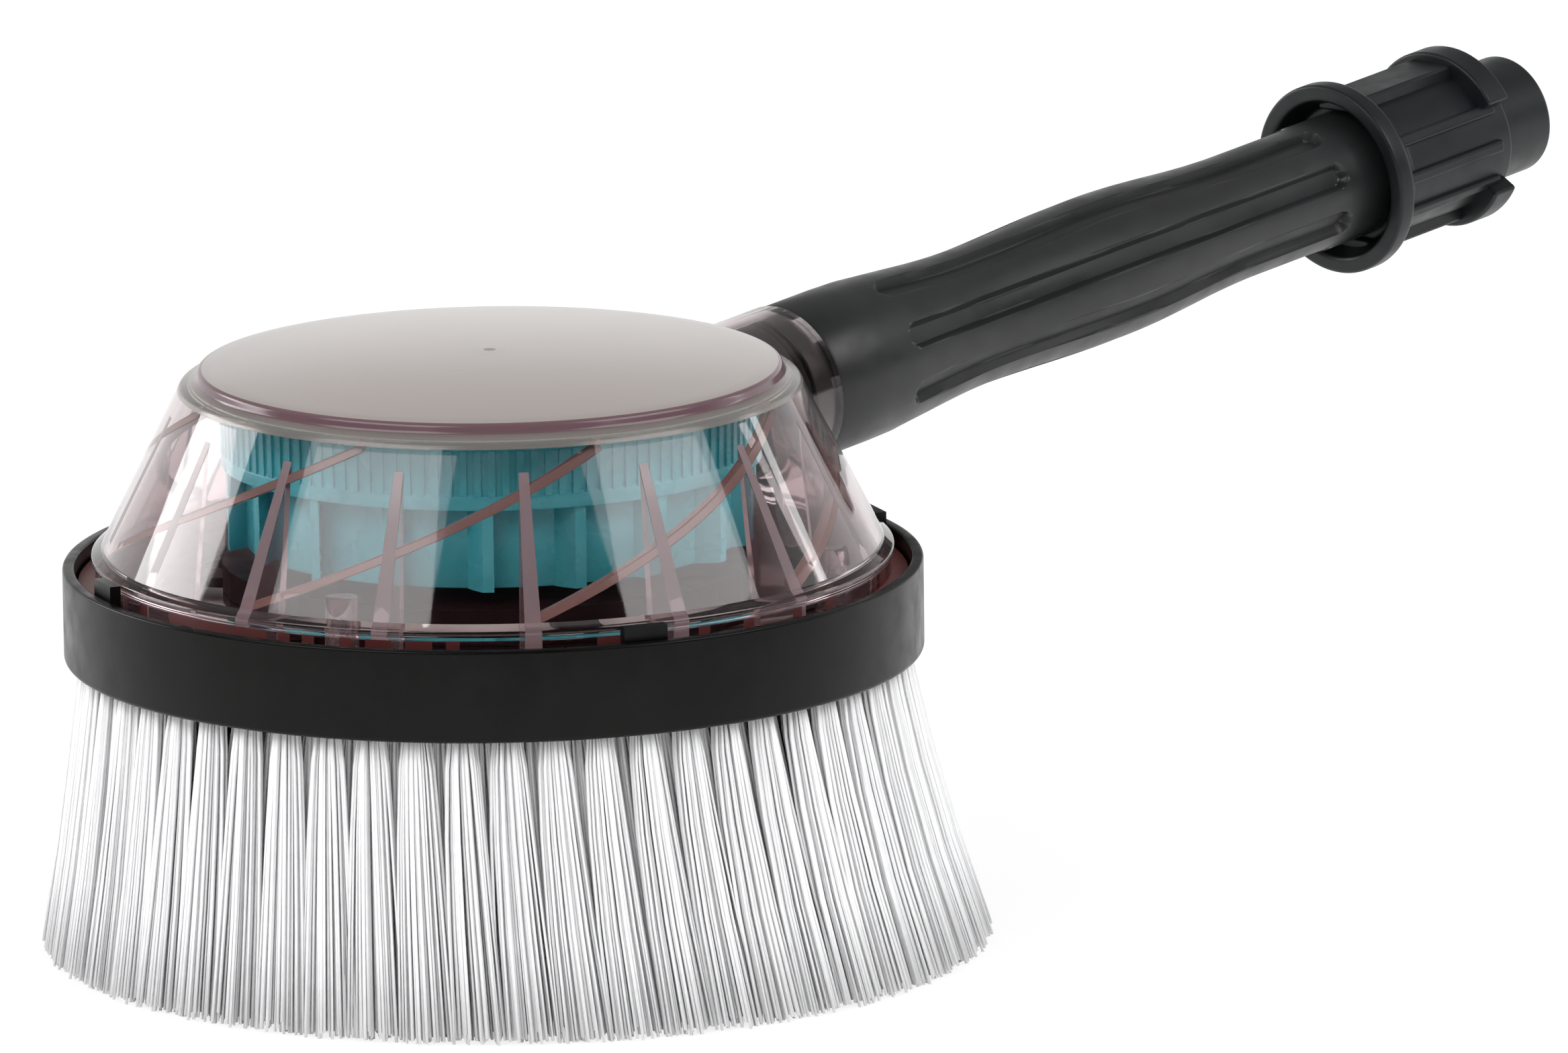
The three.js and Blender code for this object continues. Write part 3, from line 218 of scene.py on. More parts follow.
# Turbine wheel
wheel_low, wheel_high = (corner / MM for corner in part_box("turbine_wheel"))
WHEEL_RADIUS = (wheel_high.x - wheel_low.x) / 2
WHEEL_TOP = wheel_high.z
WHEEL_HEIGHT = 29
WHEEL_BOTTOM = WHEEL_TOP - WHEEL_HEIGHT
WHEEL_HUB_BOTTOM = wheel_low.z
WHEEL_HUB_RADIUS = 10.5
WHEEL_HUB_BORE = 5.6
WHEEL_HUB_HEIGHT = 26
WHEEL_WALL = 2
WEB_HEIGHT = 18.3
WEB_TOP = WHEEL_BOTTOM + WEB_HEIGHT
WEB_THICKNESS = 1.8
BAND_RIBS = 120
BAND_RIB_RISE = 0.45
BAND_OVERLAP = 0.1  # of the web into the band
BAND_LOWER_LEDGE = 0.9
BAND_LOWER_SLANT = 1.3
BAND_UPPER_LEDGE = 0.6
BAND_UPPER_SLANT = 0.9
BAND_RIB_DEPTH = 0.3
BAND_RIB_INSET = 0.02
BAND_RIB_LOWER_GAP = 1
BAND_RIB_UPPER_GAP = 0.7
WHEEL_ROUNDING = 0.4
BAND_ROUNDING = 0.3
WHEEL_CREASE_DEGREES = 30
INNER_DRUM_RADIUS = 48.5
BLADES = 18
BLADE_THICKNESS = 2.2
BLADE_TIP_INSET = 0.6
BLADE_SWEEP_DEGREES = 4
BLADE_SWEEP_POWER = 1.2
BLADE_STEPS = 10

# Bristles
TUFTS_PER_ROW = 56
FILAMENTS_PER_ROW = (50, 34, 20, 16, 16, 16)
ROW_SHRINK_SHARE = 0.055
TUFT_RADIUS = 79.7
ROOT_HEIGHT = 59.2
OUTER_FLARE_SHARE = 0.154
TUFT_HALF_WIDTH = 2.5
TUFT_HALF_DEPTH = 2.1
TUFT_SPREAD = 2.35
BRISTLE_LEAN = 3.8
LEAN_DEGREES = -45
FILAMENT_RADIUS = 0.44
FILAMENT_THINNING_SHARE = 0.25  # of its radius, from root to tip
FILAMENT_STATION_SHARES = (0, 0.12, 0.35, 0.65, 1)
FILAMENT_TURN = 2.39996  # golden angle, which spreads a tuft's filaments evenly
FILAMENT_TWIST_DEGREES = 57
ROW_FLARE_STEP_SHARE = 0.06  # that each inner row flares more
FLARE_STRAIGHT_SHARE = 0.72
TUFT_SWING = 0.5
SPREAD_POWER = 0.6
LEAN_POWER = 1.4
DEPTH_GROWTH_SHARE = 0.12
TURN_SCATTER = 0.3
LEVEL_SHARE = 0.8  # of the filaments that end close to the cut
LEVEL_SCATTER = 1.3
RAGGED_SCATTER = 2.6
SPLAY_SHARES = (0.85, 1.12)
ROW_STAGGER_SHARE = 0.25
BACKING_BOTTOM = 58.9
BACKING_TOP = 60.4
BACKING_MARGIN = 2.6
BACKING_ROUNDING = 0.3


def polar(radius, degrees, height=0.0):
    """A point at a radius and an angle about the z axis."""
    angle = math.radians(degrees)
    return Vector((radius * math.cos(angle), radius * math.sin(angle), height))


def ease(low, high, value):
    """0 below low, 1 above high, smooth between them."""
    share = min(1.0, max(0.0, (value - low) / (high - low)))
    return share * share * (3 - 2 * share)


def rounded(outline, radius, steps=4, closed=True):
    """An outline of [x, y] points with each corner rounded, as far as its sides allow."""
    result = []
    count = len(outline)
    for k, corner in enumerate(outline):
        point = Vector(corner[:2])
        if not closed and k in (0, count - 1):
            result.append(point)
            continue
        before = Vector(outline[k - 1][:2]) - point
        after = Vector(outline[(k + 1) % count][:2]) - point
        reach = min(radius, before.length * CORNER_SHARE, after.length * CORNER_SHARE)
        start = point + before.normalized() * reach
        end = point + after.normalized() * reach
        for step in range(steps + 1):
            share = step / steps
            result.append(
                start * (1 - share) ** 2 + point * 2 * share * (1 - share) + end * share**2
            )
    return result


def lathe(profile, segments=FINE_SEGMENTS, closed=True):
    """Points and faces of a body turned about z. An open profile starts and ends on the axis."""
    points = []
    rings = []
    for radius, height in profile:
        if radius < 1e-6:
            rings.append([len(points)] * segments)
            points.append(Vector((0, 0, height)))
            continue
        rings.append(range(len(points), len(points) + segments))
        points += [polar(radius, 360 * k / segments, height) for k in range(segments)]
    faces = []
    pairs = list(zip(rings, rings[1:]))
    if closed:
        pairs.append((rings[-1], rings[0]))
    for low, high in pairs:
        for k in range(segments):
            after = (k + 1) % segments
            corners = [low[k], low[after], high[after], high[k]]
            faces.append(list(dict.fromkeys(corners)))
    return points, [face for face in faces if len(face) > 2]


def loft(rings):
    """Points and faces through closed rings of equal point count, with a cap at each end."""
    size = len(rings[0])
    points = [Vector(point) for ring in rings for point in ring]
    faces = []
    for ring in range(len(rings) - 1):
        for k in range(size):
            a = ring * size + k
            b = ring * size + (k + 1) % size
            faces.append([a, b, b + size, a + size])
    last = (len(rings) - 1) * size
    faces.append(list(range(size))[::-1])
    faces.append([last + k for k in range(size)])
    return points, faces


def gather(parts):
    """Several lots of points and faces as one."""
    points = []
    faces = []
    for part_points, part_faces in parts:
        start = len(points)
        points += part_points
        faces += [[corner + start for corner in face] for face in part_faces]
    return points, faces


def turned(part, degrees):
    """The same points and faces, turned about z."""
    matrix = Matrix.Rotation(math.radians(degrees), 4, "Z")
    return [matrix @ point for point in part[0]], part[1]


def even_angles(count, first=0.0):
    """Degrees of a number of equal steps round a circle."""
    return [first + 360 * k / count for k in range(count)]


def box(low, high):
    """Points and faces of a block between two corners."""
    ring = [(low[0], low[1]), (high[0], low[1]), (high[0], high[1]), (low[0], high[1])]
    return loft([[(x, y, z) for x, y in ring] for z in (low[2], high[2])])


def bare_object(name, part, place):
    """An object from points and faces, with its faces turned outwards."""
    points, faces = part
    mesh = bpy.data.meshes.new(name)
    mesh.from_pydata([place @ point for point in points], [], faces)
    work = bmesh.new()
    work.from_mesh(mesh)
    bmesh.ops.remove_doubles(work, verts=work.verts, dist=WELD_DISTANCE * MM)
    bmesh.ops.recalc_face_normals(work, faces=work.faces)
    work.to_mesh(mesh)
    work.free()
    piece = bpy.data.objects.new(name, mesh)
    bpy.context.scene.collection.objects.link(piece)
    return piece


def shade(piece, crease_degrees):
    """Smooth shading, with edges sharper than a limit kept crisp."""
    work = bmesh.new()
    work.from_mesh(piece.data)
    for edge in work.edges:
        edge.smooth = edge.calc_face_angle(0) < math.radians(crease_degrees)
    for face in work.faces:
        face.smooth = True
    work.to_mesh(piece.data)
    work.free()


def finish_piece(piece, material, body, replaced=(), crease=CREASE_DEGREES, bevel=0.0):
    """Shading, material, rounded edges, body and hidden replaced parts of a new piece."""
    shade(piece, crease)
    piece.data.materials.clear()
    piece.data.materials.append(material)
    if bevel:
        add_bevel(piece, bevel)
    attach(piece, body)
    if replaced:
        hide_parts(*replaced)
    return piece


def add_bevel(piece, width):
    """Rounds the sharp edges of a piece."""
    bevel = piece.modifiers.new("rounded edges", "BEVEL")
    bevel.width = width * MM
    bevel.segments = BEVEL_SEGMENTS
    bevel.limit_method = "ANGLE"
    bevel.angle_limit = math.radians(BEVEL_LIMIT_DEGREES)
    bevel.harden_normals = True


def new_piece(
    name, part, material, body, replaced=(), place=AT_SPINDLE, crease=CREASE_DEGREES,
    bevel=0.0,
):
    """A finished piece from points and faces in millimetres."""
    piece = bare_object(name, part, place)
    return finish_piece(piece, material, body, replaced, crease, bevel)


def boolean(piece, tool, operation):
    """Cuts a tool out of a piece or joins it on, and drops the tool."""
    modifier = piece.modifiers.new("boolean", "BOOLEAN")
    modifier.object = tool
    modifier.operation = operation
    modifier.solver = "EXACT"
    graph = bpy.context.evaluated_depsgraph_get()
    mesh = bpy.data.meshes.new_from_object(piece.evaluated_get(graph))
    piece.modifiers.clear()
    piece.data = mesh
    bpy.data.objects.remove(tool)


# Materials


def srgb(red, green, blue):
    """A linear colour from 0 to 255 values as they look on a screen."""

    def linear(value):
        share = value / 255
        return share / 12.92 if share <= 0.04045 else ((share + 0.055) / 1.055) ** 2.4

    return (linear(red), linear(green), linear(blue), 1.0)


class Shader:
    """A new material with its Principled shader and short ways to add nodes."""

    def __init__(self, name):
        self.material = bpy.data.materials.new(name)
        self.material.use_nodes = True
        self.nodes = self.material.node_tree.nodes
        self.links = self.material.node_tree.links
        self.main = self.nodes["Principled BSDF"]
        self.output = self.nodes["Material Output"]
        self.place = self.nodes.new("ShaderNodeTexCoord").outputs["Object"]

    def noise(self, scale, detail):
        """Noise over the piece, with as many grains a metre as its scale."""
        node = self.nodes.new("ShaderNodeTexNoise")
        node.inputs["Scale"].default_value = scale
        node.inputs["Detail"].default_value = detail
        self.links.new(self.place, node.inputs["Vector"])
        return node.outputs["Fac"]

    def spread(self, value, low, high):
        """A value from noise, spread between two limits."""
        node = self.nodes.new("ShaderNodeMapRange")
        node.inputs["From Min"].default_value = NOISE_LOW
        node.inputs["From Max"].default_value = NOISE_HIGH
        node.inputs["To Min"].default_value = low
        node.inputs["To Max"].default_value = high
        self.links.new(value, node.inputs["Value"])
        return node.outputs["Result"]

    def blend(self, share, first, second):
        """A colour between two, by a share from a node."""
        node = self.nodes.new("ShaderNodeMix")
        node.data_type = "RGBA"
        node.inputs["A"].default_value = first
        node.inputs["B"].default_value = second
        self.links.new(share, node.inputs["Factor"])
        return node.outputs["Result"]

    def bump(self, height, strength, distance):
        """Relief on the surface, with its depth in millimetres."""
        node = self.nodes.new("ShaderNodeBump")
        node.inputs["Strength"].default_value = strength
        node.inputs["Distance"].default_value = distance * MM
        self.links.new(height, node.inputs["Height"])
        self.links.new(node.outputs["Normal"], self.main.inputs["Normal"])

    def drive(self, socket, value):
        """Feeds a value into a socket of the Principled shader."""
        self.links.new(value, self.main.inputs[socket])


def moulded_plastic(name, dark, light, roughness, grain=2600, grain_depth=0.02, specular=0.5):
    """Moulded plastic: cloudy colour, uneven gloss and a fine grain."""
    shader = Shader(name)
    cloud = shader.noise(45, 4)
    fine = shader.noise(grain, 2)
    shader.drive("Base Color", shader.blend(shader.spread(cloud, 0, 1), dark, light))
    gloss = shader.noise(160, 3)
    shader.drive("Roughness", shader.spread(gloss, roughness - 0.06, roughness + 0.08))
    shader.main.inputs["Specular IOR Level"].default_value = specular
    shader.bump(fine, 0.35, grain_depth)
    return shader.material


def clear_plastic(name, roughness, absorption, density, tint, clearness=1.0):
    """Clear plastic that lets lamps through and darkens with its thickness; less clear, it is hazy."""
    shader = Shader(name)
    main = shader.main
    main.inputs["Transmission Weight"].default_value = clearness
    main.inputs["IOR"].default_value = 1.5
    main.inputs["Base Color"].default_value = tint
    waves = shader.noise(28, 2)
    shader.bump(waves, 0.25, 0.25)
    shader.drive("Roughness", shader.spread(shader.noise(90, 2), roughness, roughness + 0.03))
    rays = shader.nodes.new("ShaderNodeLightPath")
    open_way = shader.nodes.new("ShaderNodeBsdfTransparent")
    open_way.inputs["Color"].default_value = tint
    mix = shader.nodes.new("ShaderNodeMixShader")
    shader.links.new(rays.outputs["Is Shadow Ray"], mix.inputs["Fac"])
    shader.links.new(main.outputs["BSDF"], mix.inputs[1])
    shader.links.new(open_way.outputs["BSDF"], mix.inputs[2])
    shader.links.new(mix.outputs["Shader"], shader.output.inputs["Surface"])
    if density:
        volume = shader.nodes.new("ShaderNodeVolumeAbsorption")
        volume.inputs["Color"].default_value = absorption
        volume.inputs["Density"].default_value = density
        shader.links.new(volume.outputs["Volume"], shader.output.inputs["Volume"])
    return shader.material


def filament_material(name, passing_share=0.05):
    """Pale nylon filament that lets a little light pass, with slight changes from tuft to tuft."""
    shader = Shader(name)
    tone = shader.noise(300, 2)
    shader.drive(
        "Base Color",
        shader.blend(shader.spread(tone, 0, 1), srgb(246, 246, 247), srgb(253, 253, 254)),
    )
    shader.drive("Roughness", shader.spread(shader.noise(900, 2), 0.42, 0.6))
    shader.main.inputs["Specular IOR Level"].default_value = 0.35
    passing = shader.nodes.new("ShaderNodeBsdfTranslucent")
    passing.inputs["Color"].default_value = srgb(253, 253, 254)
    mix = shader.nodes.new("ShaderNodeMixShader")
    mix.inputs["Fac"].default_value = passing_share
    shader.links.new(shader.main.outputs["BSDF"], mix.inputs[1])
    shader.links.new(passing.outputs["BSDF"], mix.inputs[2])
    shader.links.new(mix.outputs["Shader"], shader.output.inputs["Surface"])
    return shader.material


def metal(name, color, roughness):
    """Turned metal with an uneven tone and polish."""
    shader = Shader(name)
    shader.main.inputs["Metallic"].default_value = 1.0
    tone = shader.noise(500, 3)
    darker = tuple(channel * 0.8 for channel in color[:3]) + (1.0,)
    shader.drive("Base Color", shader.blend(shader.spread(tone, 0, 1), darker, color))
    shader.drive("Roughness", shader.spread(shader.noise(1500, 2), roughness - 0.08, roughness + 0.1))
    return shader.material


MATERIALS = {
    "skirt": moulded_plastic("skirt plastic", srgb(5, 4, 4), srgb(10, 9, 8), 0.3, specular=0.2),
    "handle": moulded_plastic("handle plastic", srgb(24, 25, 26), srgb(32, 33, 34), 0.36),
    "coupling": moulded_plastic("coupling plastic", srgb(12, 16, 18), srgb(18, 23, 25), 0.4, specular=0.4),
    "drum": moulded_plastic("drum plastic", srgb(24, 5, 9), srgb(38, 12, 17), 0.45, specular=0.3),
    "teal": moulded_plastic("teal plastic", srgb(70, 196, 208), srgb(98, 214, 226), 0.28, specular=0.6),
    "cover": clear_plastic("clear plastic", 0.015, srgb(196, 166, 172), 60, srgb(250, 244, 244)),
    "disc": clear_plastic(
        "hazy plastic of the disc", 0.1, srgb(196, 166, 172), 60, srgb(172, 163, 158), 0.42),
    # The disc's edge is painted a dark purplish grey: painted shade for light seen edge-on through thick
    # clear plastic
    "rim": clear_plastic(
        "plastic of the disc's edge painted dark as shade", 0.15, srgb(196, 166, 172), 60, srgb(112, 86, 92), 0.35),
    # The shoulder band round the disc is painted pale: a painted highlight of the rounded shoulder
    "shoulder": clear_plastic(
        "plastic of the cover's shoulder painted pale as a highlight", 0.2, srgb(196, 166, 172), 60, srgb(240, 234, 226), 0.88),
    "foot": clear_plastic(
        "plastic of the cover's foot", 0.4, srgb(150, 90, 88), 95, srgb(124, 56, 52), 0.5),
    "rib": clear_plastic(
        "clear plastic of the ribs", 0.05, srgb(190, 160, 164), 120, srgb(236, 224, 226), 0.92),
    # The ribs' thin edges are painted hazy pinkish grey and darker in their thickness: painted highlight
    # and shade along the edges of clear plates
    "rib_edge_painted_light": clear_plastic(
        "plastic of the ribs' edges painted as highlight and shade", 0.15, srgb(176, 138, 142), 200, srgb(188, 172, 176), 0.45),
    "brace": clear_plastic(
        "clear plastic of the braces", 0.12, srgb(160, 110, 106), 300, srgb(180, 146, 140), 0.6),
    "filament": filament_material("nylon filament"),
    "nylon": moulded_plastic("white nylon", srgb(222, 220, 214), srgb(236, 234, 229), 0.45),
    "rubber": moulded_plastic("black rubber", srgb(18, 18, 18), srgb(26, 26, 26), 0.7, grain=900),
    "steel": metal("turned steel", srgb(196, 198, 202), 0.28),
    "bronze": metal("bearing bronze", srgb(176, 132, 80), 0.34),
}

CARRIED_OVER = {
    "steel": ("axle", "cover_screw", "planet_pin", "ring_screw", "coupling_pin"),
    "bronze": ("carrier_bush", "turbine_bush", "brush_bush"),
    "nylon": ("planet_gear", "drive_pinion", "ring_gear", "brush_plate"),
    "rubber": ("neck_seal", "coupling_seal"),
    "coupling": ("jet_nozzle",),
    "drum": ("gear_carrier", "chamber_drum"),
    "skirt": ("cover_clip",),
}


def dress_carried_nodes():
    """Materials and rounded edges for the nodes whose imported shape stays."""
    for look, starts in CARRIED_OVER.items():
        for name, node in frame["nodes"].items():
            if name.startswith(starts):
                node.data.materials.clear()
                node.data.materials.append(MATERIALS[look])
                if look in ("skirt", "coupling"):
                    add_bevel(node, CLIP_BEVEL)


# Skirt


def make_skirt():
    """A ring with a rounded foot and rim, and a ledge inside."""
    ledge = SKIRT_INSIDE - LEDGE_REACH
    outline = [
        (SKIRT_INSIDE, SKIRT_BOTTOM),
        (SKIRT_RADIUS, SKIRT_BOTTOM),
        (SKIRT_RADIUS, SKIRT_TOP),
        (SKIRT_INSIDE, SKIRT_TOP),
        (SKIRT_INSIDE, LEDGE_TOP),
        (ledge, LEDGE_TOP),
        (ledge, LEDGE_TOP - LEDGE_THICKNESS),
        (SKIRT_INSIDE, LEDGE_TOP - LEDGE_THICKNESS),
    ]
    lower = rounded(outline[:3], SKIRT_FOOT_ROUNDING, 6, closed=False)
    upper = rounded(outline[1:5], SKIRT_RIM_ROUNDING, 4, closed=False)
    profile = [*lower[:-1], *upper[1:-1], *outline[4:]]
    new_piece(
        "skirt", lathe(profile, SKIRT_SEGMENTS), MATERIALS["skirt"], "root",
        ["skirt_ring"])


# Clear cover


def cone_radius(height):
    """Radius of the outside of the cone at a height."""
    return CONE_TOP_RADIUS + (CONE_TOP - height) * CONE_SLOPE


def dome(lowered, edge_radius, steps=14):
    """Points over the dome from near its middle to its edge."""
    edge_top = DISC_EDGE + DISC_EDGE_RISE
    summit = DISC_EDGE + DOME_RISE
    shares = [(k + 1) / steps for k in range(steps)]
    return [(edge_radius * s, summit - (summit - edge_top) * s * s - lowered) for s in shares]


def cover_outside():
    """Outline from the dimple over the dome and down the cone to the foot."""
    upright = cone_radius(UPRIGHT_TOP)
    summit = DISC_EDGE + DOME_RISE
    middle = [
        (0, summit - DIMPLE_DEPTH),
        (DIMPLE_RADIUS * DIMPLE_WAIST_SHARE, summit - DIMPLE_DEPTH * DIMPLE_DEPTH_SHARE),
        (DIMPLE_RADIUS, summit),
    ]
    rim = rounded(
        [
            dome(0, DISC_RADIUS)[-2],
            dome(0, DISC_RADIUS)[-1],
            (DISC_RADIUS + COVER_WALL / 4, DISC_EDGE - DISC_EDGE_RISE),
            (CONE_TOP_RADIUS, CONE_TOP),
            (cone_radius(CONE_TOP - SHOULDER_DROP), CONE_TOP - SHOULDER_DROP),
            (cone_radius(UPRIGHT_TOP + BEAD_HEIGHT), UPRIGHT_TOP + BEAD_HEIGHT),
        ],
        COVER_ROUNDING,
        4,
        closed=False,
    )
    foot = rounded(
        [
            (cone_radius(UPRIGHT_TOP + BEAD_HEIGHT), UPRIGHT_TOP + BEAD_HEIGHT),
            (upright + BEAD_REACH, UPRIGHT_TOP + BEAD_HEIGHT / 2),
            (upright + BEAD_REACH, UPRIGHT_TOP),
            (upright, UPRIGHT_TOP - BEAD_REACH),
            (upright, FOOT_TOP),
            (FOOT_RADIUS, FOOT_TOP),
            (FOOT_RADIUS, FOOT_BOTTOM),
            (0, FOOT_BOTTOM),
        ],
        COVER_FOOT_ROUNDING,
        3,
        closed=False,
    )
    return [*middle, *dome(0, DISC_RADIUS)[:-1], *rim[1:], *foot[1:]]


def cover_hollow():
    """Outline of what is taken out of the cover from below."""
    upright = cone_radius(UPRIGHT_TOP)
    below = FOOT_BOTTOM - OVERRUN
    shoulder = rounded(
        [
            dome(COVER_WALL, DISC_RADIUS - COVER_WALL)[-2],
            dome(COVER_WALL, DISC_RADIUS - COVER_WALL)[-1],
            (CONE_TOP_RADIUS - COVER_WALL, CONE_TOP - COVER_WALL / 2),
            (upright - COVER_WALL, UPRIGHT_TOP),
            (upright - COVER_WALL, below),
        ],
        COVER_ROUNDING,
        4,
        closed=False,
    )
    start = (0, DISC_EDGE + DOME_RISE - COVER_WALL)
    return [start, *dome(COVER_WALL, DISC_RADIUS - COVER_WALL)[:-1], *shoulder[1:], (0, below)]


def rod(radius, start, end, segments):
    """A straight round rod on the z axis."""
    return lathe([(0, start), (radius, start), (radius, end), (0, end)], segments, closed=False)


def make_cover():
    """The shell: cone, dome, foot and neck in one clear moulding."""
    shell = bare_object("cover", lathe(cover_outside(), COVER_SEGMENTS, closed=False), AT_SPINDLE)
    neck = bare_object("neck", rod(NECK_RADIUS, -NECK_REACH / 2, 0, SMALL_SEGMENTS), AT_HANDLE)
    boolean(shell, neck, "UNION")
    inside = lathe(cover_hollow(), COVER_SEGMENTS, closed=False)
    hollow = bare_object("hollow", inside, AT_SPINDLE)
    boolean(shell, hollow, "DIFFERENCE")
    socket = [
        (0, -NECK_REACH / 2),
        (NECK_THROAT, -NECK_REACH / 2),
        (NECK_THROAT, -NECK_SOCKET),
        (NECK_BORE, -NECK_SOCKET),
        (NECK_BORE, OVERRUN),
        (0, OVERRUN),
    ]
    socket = lathe(socket, SMALL_SEGMENTS, closed=False)
    boolean(shell, bare_object("socket", socket, AT_HANDLE), "DIFFERENCE")
    finish_piece(
        shell, MATERIALS["cover"], "root", ["cover_shell"],
        crease=COVER_CREASE_DEGREES)
    for look in ("disc", "rim", "shoulder", "foot"):
        shell.data.materials.append(MATERIALS[look])
    for face in shell.data.polygons:
        face.material_index = cover_zone((face.center - SPINDLE) / MM)


def cover_zone(place):
    """Material slot of the cover at a place: cone and neck, disc, its edge painted dark as shade, its
    shoulder painted pale as a highlight, or foot.
    """
    radius = place.xy.length
    if place.z < FOOT_TOP + BEAD_REACH:
        return 4
    if place.z < CONE_TOP - SHOULDER_DROP or radius > CONE_TOP_RADIUS + SHOULDER_DROP:
        return 0
    # Slot 3, the shoulder band, is painted pale as a highlight
    if radius > DISC_RADIUS + COVER_WALL / 3:
        return 3
    # Slot 2, the disc's edge, is painted dark as shade
    return 1 if radius < DISC_RADIUS - PAINTED_SHADE_RIM_WIDTH else 2


def gusset():
    """A thin upright plate inside the cone, in the plane of x and z, thicker at its foot."""
    top = CONE_TOP - (GUSSET_INNER_RADIUS + COVER_WALL - CONE_TOP_RADIUS) / CONE_SLOPE
    wall = COVER_WALL + RIB_AIR
    outline = [
        (GUSSET_FOOT_RADIUS, FOOT_BOTTOM),
        (cone_radius(UPRIGHT_TOP) - wall, FOOT_BOTTOM),
        (cone_radius(UPRIGHT_TOP) - wall, UPRIGHT_TOP),
        (cone_radius(top) - wall, top),
        (GUSSET_INNER_RADIUS, top - GUSSET_TOP_SLANT),
    ]
    slope = (GUSSET_FOOT_THICKNESS - GUSSET_THICKNESS) / 2 / (top - FOOT_BOTTOM)
    rings = []
    for side in (1, -1):
        halves = [GUSSET_THICKNESS / 2 + slope * (top - z) for x, z in outline]
        rings.append([(x, side * half, z) for (x, z), half in zip(outline, halves)])
    return loft(rings)


def brace():
    """A slanting rib that climbs round the inside of the cone."""
    steps = 20
    low = UPRIGHT_TOP + BRACE_WIDTH
    high = CONE_TOP - BRACE_WIDTH
    rings = []
    for k in range(steps + 1):
        share = k / steps
        height = low + (high - low) * share
        degrees = BRACE_TURN_DEGREES * share
        bottom = height - BRACE_WIDTH / 2
        top = height + BRACE_WIDTH / 2
        wall = COVER_WALL + RIB_AIR
        rings.append(
            [
                polar(cone_radius(bottom) - wall - BRACE_DEPTH, degrees, bottom),
                polar(cone_radius(bottom) - wall, degrees, bottom),
                polar(cone_radius(top) - wall, degrees, top),
                polar(cone_radius(top) - wall - BRACE_DEPTH, degrees, top),
            ]
        )
    return loft(rings)


def make_ribs():
    """Gussets, whose thin edges are painted a hazy pinkish grey as their highlight and shade, and braces.
    """
    gussets = [turned(gusset(), angle) for angle in even_angles(GUSSETS, RIB_FIRST_DEGREES)]
    braces = [turned(brace(), angle) for angle in even_angles(BRACES, RIB_FIRST_DEGREES)]
    plates = new_piece(
        "cover_gussets", gather(gussets), MATERIALS["rib"], "root",
        ["cover_shell"], bevel=RIB_BEVEL)
    plates.data.materials.append(MATERIALS["rib_edge_painted_light"])
    # Faces with four corners are the thin edges, which take the painted highlight and shade
    for face in plates.data.polygons:
        face.material_index = 0 if len(face.vertices) > 4 else 1
    new_piece(
        "cover_braces", gather(braces), MATERIALS["brace"], "root",
        ["cover_shell"], bevel=RIB_BEVEL)


def make_bosses():
    """Screw bosses and the axle's boss, under the dome and on the foot."""
    tube = [
        (SCREW_HOLE_RADIUS, FOOT_BOTTOM),
        (SCREW_BOSS_RADIUS, FOOT_BOTTOM),
        (SCREW_BOSS_RADIUS - SCREW_BOSS_TAPER, FOOT_BOTTOM + SCREW_BOSS_HEIGHT),
        (SCREW_HOLE_RADIUS, FOOT_BOTTOM + SCREW_BOSS_HEIGHT),
    ]
    points, faces = lathe(tube, 32)
    inward = Vector((SCREW_CIRCLE - SCREW_BOSS_INSET, 0, 0))
    boss = ([point + inward for point in points], faces)
    bosses = [turned(boss, angle) for angle in even_angles(SCREW_BOSSES, SCREW_FIRST_DEGREES)]
    underside = DISC_EDGE + DOME_RISE - COVER_WALL - RIB_AIR
    axle_boss = [
        (AXLE_HOLE_RADIUS, underside - AXLE_BOSS_DROP),
        (AXLE_BOSS_RADIUS, underside - AXLE_BOSS_DROP),
        (AXLE_BOSS_RADIUS, underside - AXLE_BOSS_AIR),
        (AXLE_HOLE_RADIUS, underside - AXLE_BOSS_AIR),
    ]
    new_piece(
        "cover_bosses", gather([*bosses, lathe(axle_boss, 48)]), MATERIALS["rib"], "root",
        ["cover_shell"])


# Turbine wheel


def blade():
    """A swept blade, from the inner drum to its tip."""
    start = INNER_DRUM_RADIUS - WHEEL_WALL / 2
    end = WHEEL_RADIUS - BLADE_TIP_INSET
    shares = [k / BLADE_STEPS for k in range(BLADE_STEPS + 1)]
    radii = [start + (end - start) * share for share in shares]
    turns = [BLADE_SWEEP_DEGREES * share**BLADE_SWEEP_POWER for share in shares]
    half = BLADE_THICKNESS / 2
    near = [polar(r, d) + polar(half, d - 90) for r, d in zip(radii, turns)]
    far = [polar(r, d) + polar(half, d + 90) for r, d in zip(radii, turns)]
    outline = [*near, *reversed(far)]
    levels = (WHEEL_BOTTOM, WEB_TOP - WEB_THICKNESS / 2)
    return loft([[(point.x, point.y, z) for point in outline] for z in levels])


